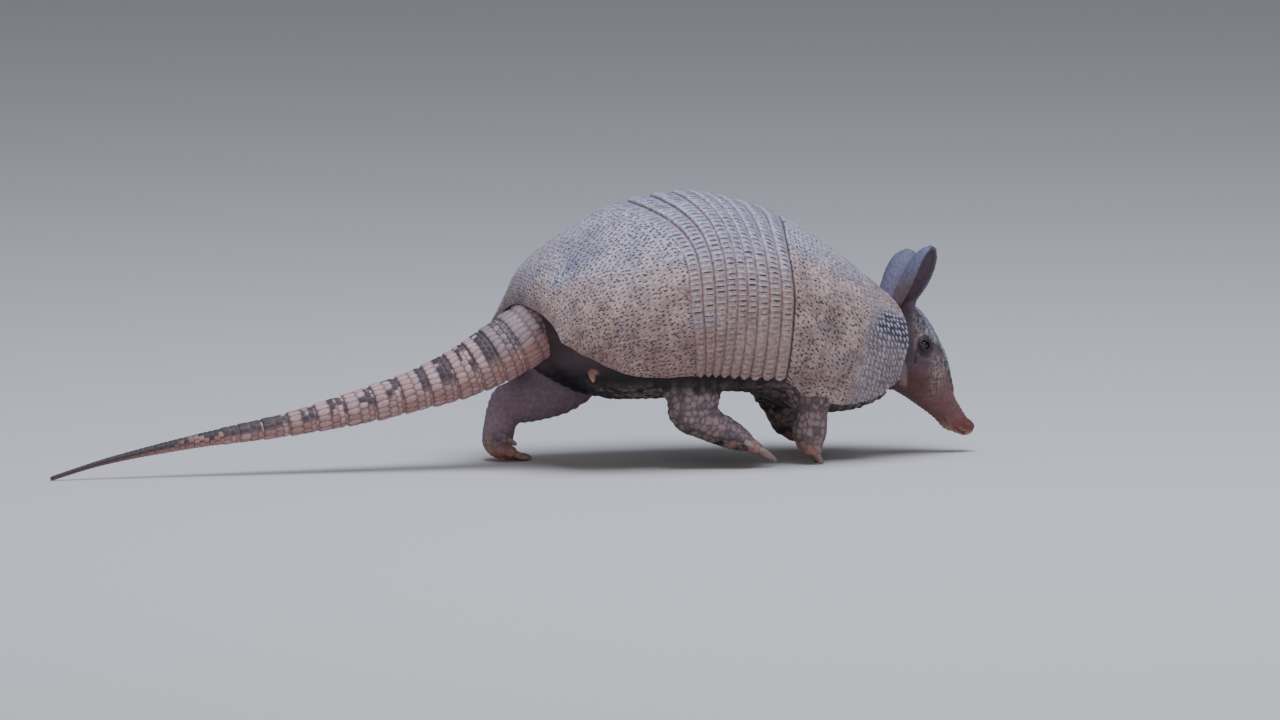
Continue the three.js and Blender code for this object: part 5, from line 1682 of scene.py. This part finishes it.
# ears: dark purple-grey inside, granular grey back with a pale rim
skin_tone = lay(skin_tone, "#685965", in_ear)
skin_tone = lay(skin_tone, "#656479", ear_back)
skin_tone = lay(skin_tone, "#6b5a58", ear_back * ramp(-y, 4, 12) * ramp(-z, -134, -116))
ear_grains = ear_back * ramp(-fine_middle, -0.9, -0.5) * ramp(fine_own, 0.4, 0.7)
skin_tone = lay(skin_tone, "#7c7a88", 0.6 * ear_grains)
skin_shine = np.clip(0.25 + 0.5 * on_head * ramp(head_along, 70, 84), 0, 1)

# %% Skin finish
bare_skin, tree, shader = new_finish("leathery_bare_skin")
shader.inputs["Specular IOR Level"].default_value = 0.38
shader.inputs["Subsurface Weight"].default_value = 0.06
shader.inputs["Subsurface Radius"].default_value = (0.004, 0.0015, 0.001)
shader.inputs["Subsurface Scale"].default_value = 0.6
tone = add_node(tree, "Attribute", attribute_name="tone")
body_place = add_node(tree, "TexCoord")
leather = add_node(tree, "TexVoronoi", {"Vector": body_place.outputs["Object"], "Scale": 620.0,
                   "Randomness": 1.0}, feature="DISTANCE_TO_EDGE")
grains = add_node(tree, "TexNoise", {"Vector": body_place.outputs["Object"], "Scale": 380.0,
                  "Detail": 4.0, "Roughness": 0.65})
grain_shade = add_node(tree, "MapRange", {0: grains.outputs["Fac"], 1: 0.3, 2: 0.7, 3: 0.75, 4: 1.2})
grained = add_node(tree, "Mix", {0: 1.0, 6: tone.outputs["Color"], 7: grain_shade}, data_type="RGBA",
                   blend_type="MULTIPLY")
tree.links.new(grained.outputs[2], shader.inputs["Base Color"])
leather_height = add_node(tree, "MapRange", {0: leather.outputs["Distance"], 1: 0.0, 2: 0.12, 3: 0.0,
                          4: 1.0})
height_sum = add_node(tree, "Math", {0: grains.outputs["Fac"], 1: leather_height}, operation="ADD")
bump = add_node(tree, "Bump", {"Height": height_sum, "Strength": 0.35, "Distance": 0.3 * MM})
tree.links.new(bump.outputs[0], shader.inputs["Normal"])
shine = add_node(tree, "Attribute", attribute_name="shine")
roughness = add_node(tree, "MapRange", {0: shine.outputs["Fac"], 1: 0.0, 2: 1.0, 3: 0.75, 4: 0.35})
tree.links.new(roughness.outputs[0], shader.inputs["Roughness"])

# %% Skin piece
x, y, z = skin_spots.T
hidden = (z > 74) & (np.abs(y) > 42) & (x > -40) & (x < 150)
hidden |= (z > 80) & (x > -50) & (x < 160)
hidden |= (z > 88) & (x > -62) & (x < 168)
hidden |= (z > 112) & (x < -60)


def thin_out(spots, faces, hidden, cell, *numbers):
    """Joins the hidden points that share a small cube of space, so that few faces lie unseen."""
    place = np.floor(spots / cell).astype(np.int64) + 500
    cube = (place[:, 0] * 1000 + place[:, 1]) * 1000 + place[:, 2]
    code = np.where(hidden, cube, -1 - np.arange(len(spots)))
    new_number = np.unique(code, return_inverse=True)[1].ravel()
    weight = np.bincount(new_number)

    def averaged(values):
        values = values.reshape(len(spots), -1)
        joined = [np.bincount(new_number, values[:, k]) / weight for k in range(values.shape[1])]
        return np.squeeze(np.stack(joined, 1))

    corners = new_number[faces]
    repeated = corners == np.roll(corners, 1, axis=1)
    folded = (corners[:, 0] == corners[:, 2]) | (corners[:, 1] == corners[:, 3])
    quads = corners[(repeated.sum(1) == 0) & ~folded]
    three = (repeated.sum(1) == 1) & ~folded
    triangles = corners[three][~repeated[three]].reshape(-1, 3)
    return averaged(spots), [quads, triangles], [averaged(values) for values in numbers]


skin_spots, skin_faces, (skin_tone, skin_shine) = thin_out(skin_spots, skin_faces, hidden, 6.0,
                                                            skin_tone, skin_shine)
skin = new_piece("skin", skin_spots, skin_faces, bare_skin, {"tone": skin_tone, "shine": skin_shine})
flesh = ["trunk", "neck", "head", "tail_base", "ear_left", "ear_right"]
flesh += [f"{pair}_{part}_{side}" for pair in ("hind", "front") for part in ("leg", "foot")
          for side in ("left", "right")]
declare(skin, "leg_skin", *flesh)

# %% [markdown]
# ## The plate on the forehead
# The head shield is a thin plate of larger scutes from between the ears to halfway down
# the snout. Its scutes are dark in the middle with pale worn outlines. It is laid over the
# head's sections as a grid, thin at the rim so that it grows out of the skin.

# %% Head shield
plate_horn = painted_horn("forehead_plate_horn", 0.4, 0.55, 480.0, (0.8, 1.15))


def skin_distance(spots):
    """How far each point lies outside the skin, read from the grid."""
    total = 0
    low, share = [], []
    for axis, lines in enumerate((grid_x, grid_y, grid_z)):
        i = np.clip(np.searchsorted(lines, spots[:, axis]) - 1, 0, len(lines) - 2)
        low.append(i)
        share.append((spots[:, axis] - lines[i]) / (lines[i + 1] - lines[i]))
    for step in product((0, 1), repeat=3):
        weight = np.prod([f if far else 1 - f for f, far in zip(share, step)], axis=0)
        total = total + weight * skin_field[tuple(i + far for i, far in zip(low, step))]
    return total


def head_shield():
    """The forehead plate."""
    rows, columns = 161, 97
    v = np.linspace(-0.5, 0.5, rows)[:, None]
    across = np.linspace(-1, 1, columns)[None, :]
    v, across = np.broadcast_arrays(v, across)
    taper = 1 - 0.35 * np.clip(v, 0, None) - 1.2 * np.clip(np.abs(v) - 0.4, 0, None)
    s = mixed(0.75, 5.1, v + 0.5)
    turn = across * np.radians(47 + 10 * ramp(-v, 0.12, 0.3)) * taper
    base = head_point(s, turn)
    flat = base.reshape(-1, 3)
    cells = scale_cells(flat * [1, 0.9, 1], 5.2, 51)
    edge, own = (numbers.reshape(rows, columns) for numbers in cells[1:])
    room = np.minimum((1 - np.abs(across)) * 18, (0.5 - np.abs(v)) * 80)
    wavy = room - 1.2 * ramp(-edge, -1.2, 0) * ramp(-room, -4, 0)
    thick = mixed(-0.6, 1.5, ramp(wavy, 0, 2.6))
    rise = thick + 0.42 * ramp(edge, 0, 1.3) * ramp(room, 0, 3)
    rise += 0.08 * soft_noise(flat, 2.5, 52).reshape(rows, columns)
    to_skin = -skin_distance(base.reshape(-1, 3)).reshape(rows, columns)
    lifted = head_point(s, turn, rise + to_skin)
    lifted_flat = lifted.reshape(-1, 3)
    tone = np.tile(tint("#8b8896"), (rows * columns, 1))
    mottled = soft_noise(flat, 6, 53)
    tone = lay(tone, "#3f3c46", 0.9 * ramp(own.ravel() + 0.4 * mottled + 0.5 * v.ravel(), 0.3, 0.6))
    tone = lay(tone, "#a6a0a6", 0.8 * ramp(-edge.ravel(), -1.3, -0.6))
    tone = lay(tone, "#2f2a2c", 0.9 * ramp(-edge.ravel(), -0.6, -0.15))
    tone = lay(tone, "#6d504a", 0.7 * ramp(v.ravel(), 0.2, 0.5))
    under = head_point(s, turn, -1.2)[::UNDER_STEP, ::UNDER_STEP]
    loop = border_of(rows, columns)
    first = rows * columns
    closing = joined_to_coarse(loop, loop[:, 0] * columns + loop[:, 1], first, under.shape[1])
    spots = np.concatenate([lifted_flat, under.reshape(-1, 3)])
    tones = np.concatenate([tone, np.tile(tint("#4a474f"), (under.shape[0] * under.shape[1], 1))])
    faces = [grid_faces(rows, columns)[:, ::-1], closing, grid_faces(*under.shape[:2], first)]
    return new_piece("head_shield_horn", spots, faces, plate_horn, {"tone": tones})


declare(fix_outward(head_shield()), "head_scutes", "head_shield")

# %% [markdown]
# ## The claws
# Claws are horn, pale and a little see-through, thick at the root and pointed. A claw is
# a profile swept along a curved line while it shrinks, which is just what Geometry Nodes
# do with a curve and its radius. One tree serves all eighteen claws.

# %% Claw finish
claw_horn, tree, shader = new_finish("pale_claw_horn")
shader.inputs["Roughness"].default_value = 0.42
shader.inputs["Specular IOR Level"].default_value = 0.5
shader.inputs["Subsurface Weight"].default_value = 0.12
shader.inputs["Subsurface Radius"].default_value = (0.003, 0.0015, 0.001)
shader.inputs["Subsurface Scale"].default_value = 0.5
body_place = add_node(tree, "TexCoord")
streak_place = add_node(tree, "Mapping", {"Vector": body_place.outputs["Object"],
                        "Scale": (90.0, 700.0, 260.0)})
streaks = add_node(tree, "TexNoise", {"Vector": streak_place, "Scale": 1.0, "Detail": 3.0})
horn_tone = add_node(tree, "ValToRGB", {0: streaks.outputs["Fac"]})
horn_tone.color_ramp.elements[0].position = 0.3
horn_tone.color_ramp.elements[0].color = linear("#665049")
horn_tone.color_ramp.elements[1].position = 0.7
horn_tone.color_ramp.elements[1].color = linear("#ab9486")
tree.links.new(horn_tone.outputs[0], shader.inputs["Base Color"])
bump = add_node(tree, "Bump", {"Height": streaks.outputs["Fac"], "Strength": 0.4, "Distance": 0.3 * MM})
tree.links.new(bump.outputs[0], shader.inputs["Normal"])


# %% Claw tree
def group_input(tree, name, kind, value=None):
    """A named input of a Geometry Nodes tree."""
    made = tree.interface.new_socket(name=name, in_out="INPUT", socket_type=kind)
    if value is not None:
        made.default_value = value
    return made


claw_tree = bpy.data.node_groups.new("sweep_claw", "GeometryNodeTree")
group_input(claw_tree, "Line", "NodeSocketGeometry")
group_input(claw_tree, "Sides", "NodeSocketInt", 14)
flatness_input = group_input(claw_tree, "Flatness", "NodeSocketFloat", 0.86)
claw_tree.interface.new_socket(name="Claw", in_out="OUTPUT", socket_type="NodeSocketGeometry")
inputs = add_node(claw_tree, "NodeGroupInput")
outline = add_node(claw_tree, "GeometryNodeCurvePrimitiveCircle", {"Resolution": inputs.outputs["Sides"],
                   "Radius": 1.0})
squash = add_node(claw_tree, "CombineXYZ", {0: inputs.outputs["Flatness"], 1: 1.0, 2: 1.0})
oval = add_node(claw_tree, "GeometryNodeTransform", {"Geometry": outline, "Scale": squash})
swept = add_node(claw_tree, "GeometryNodeCurveToMesh", {"Curve": inputs.outputs["Line"],
                 "Profile Curve": oval, "Fill Caps": True})
if "Scale" in swept.inputs:
    thickness = add_node(claw_tree, "GeometryNodeInputRadius")
    claw_tree.links.new(thickness.outputs[0], swept.inputs["Scale"])
rounded = add_node(claw_tree, "GeometryNodeSetShadeSmooth", {"Geometry": swept})
real = add_node(claw_tree, "GeometryNodeRealizeInstances", {"Geometry": rounded})
painted = add_node(claw_tree, "GeometryNodeSetMaterial", {"Geometry": real, "Material": claw_horn})
add_node(claw_tree, "NodeGroupOutput", {0: painted})


def claw_piece(name, knuckle_tip, radius, length, toe_way, claw_way):
    """One claw, swept along a gently bent line from inside the toe to its point."""
    start = knuckle_tip - claw_way * 4
    end = knuckle_tip + claw_way * length
    middle = mixed(knuckle_tip, end, 0.5) + toe_way * 1.2
    t = np.linspace(0, 1, 15)[:, None]
    line = (1 - t) ** 2 * start + 2 * t * (1 - t) * (2 * middle - (start + end) / 2) + t**2 * end
    line[:, 2] = np.maximum(line[:, 2], 0.5)
    sizes = radius * np.interp(t[:, 0], [0, 0.35, 0.7, 0.93, 1], [0.6, 0.58, 0.42, 0.2, 0.07])
    line[:, 2] = np.maximum(line[:, 2], sizes * 0.95 + 0.05)
    curve = bpy.data.curves.new(name, "CURVE")
    curve.dimensions = "3D"
    spline = curve.splines.new("POLY")
    spline.points.add(len(line) - 1)
    for point, at, size in zip(spline.points, (line - FOOTPRINT_CENTRE) * MM, sizes * MM):
        point.co = (*at, 1)
        point.radius = size
    rough = bpy.data.objects.new(name, curve)
    bpy.context.scene.collection.objects.link(rough)
    sweep = rough.modifiers.new("sweep", "NODES")
    sweep.node_group = claw_tree
    sweep[flatness_input.identifier] = 0.86
    drawn = rough.evaluated_get(bpy.context.evaluated_depsgraph_get())
    mesh = bpy.data.meshes.new_from_object(drawn)
    bpy.data.objects.remove(rough)
    piece = bpy.data.objects.new(name, mesh)
    bpy.context.scene.collection.objects.link(piece)
    return fix_outward(piece)


for name in TOE_POSES:
    for number, (knuckle, tip, radius, length, way, claw_way) in enumerate(toes_of(name), 1):
        piece = claw_piece(f"claw_{name}_{number}_horn", tip, radius, length, way, claw_way)
        declare(piece, "claw_horn", f"claw_{name}_{number}")

# %% [markdown]
# ## The eyes
# The eye is small, dark brown and wet. A ball with a slightly domed front is enough, since
# the lids leave only an almond of it showing. It keeps the place and size of its solid.

# %% Eyes
eye_wet, tree, shader = new_finish("wet_dark_eye")
shader.inputs["Base Color"].default_value = linear("#171011")
shader.inputs["Roughness"].default_value = 0.18
shader.inputs["Coat Weight"].default_value = 0.3
shader.inputs["Coat Roughness"].default_value = 0.05
body_place = add_node(tree, "TexCoord")
iris_noise = add_node(tree, "TexNoise", {"Vector": body_place.outputs["Object"], "Scale": 900.0})
iris = add_node(tree, "Mix", {0: iris_noise.outputs["Fac"], 6: linear("#0e090a"), 7: linear("#2a1a15")},
                data_type="RGBA")
tree.links.new(iris.outputs[2], shader.inputs["Base Color"])


def eye_piece(word, side):
    """An eyeball with a domed front."""
    rows, columns = 25, 36
    tilt = np.linspace(0, np.pi, rows)[:, None]
    turn = np.linspace(0, 2 * np.pi, columns, endpoint=False)[None, :]
    out = unit([0.24, side * 0.95, 0.12])
    across = unit(np.cross(out, [0, 0, 1]))
    up = np.cross(across, out)
    radius = EYE_RADIUS + 0.1 * np.exp(-((tilt / 0.6) ** 2)) - 0.1
    around = np.cos(turn)[..., None] * across + np.sin(turn)[..., None] * up
    spots = (EYE_PLACE * [1, side, 1] + out * (np.cos(tilt) * radius)[..., None]
             + around * (np.sin(tilt) * radius)[..., None])
    inner = spots[1:-1].reshape(-1, 3)
    count = len(inner)
    all_spots = np.concatenate([inner, [spots[0, 0], spots[-1, 0]]])
    ends = end_fans(count, columns)
    faces = [grid_faces(rows - 2, columns, closed=True), *ends]
    return fix_outward(new_piece(f"eye_{word}_ball", all_spots, faces, eye_wet))


declare(eye_piece("left", 1), "eye", "eye_left")
declare(eye_piece("right", -1), "eye", "eye_right")
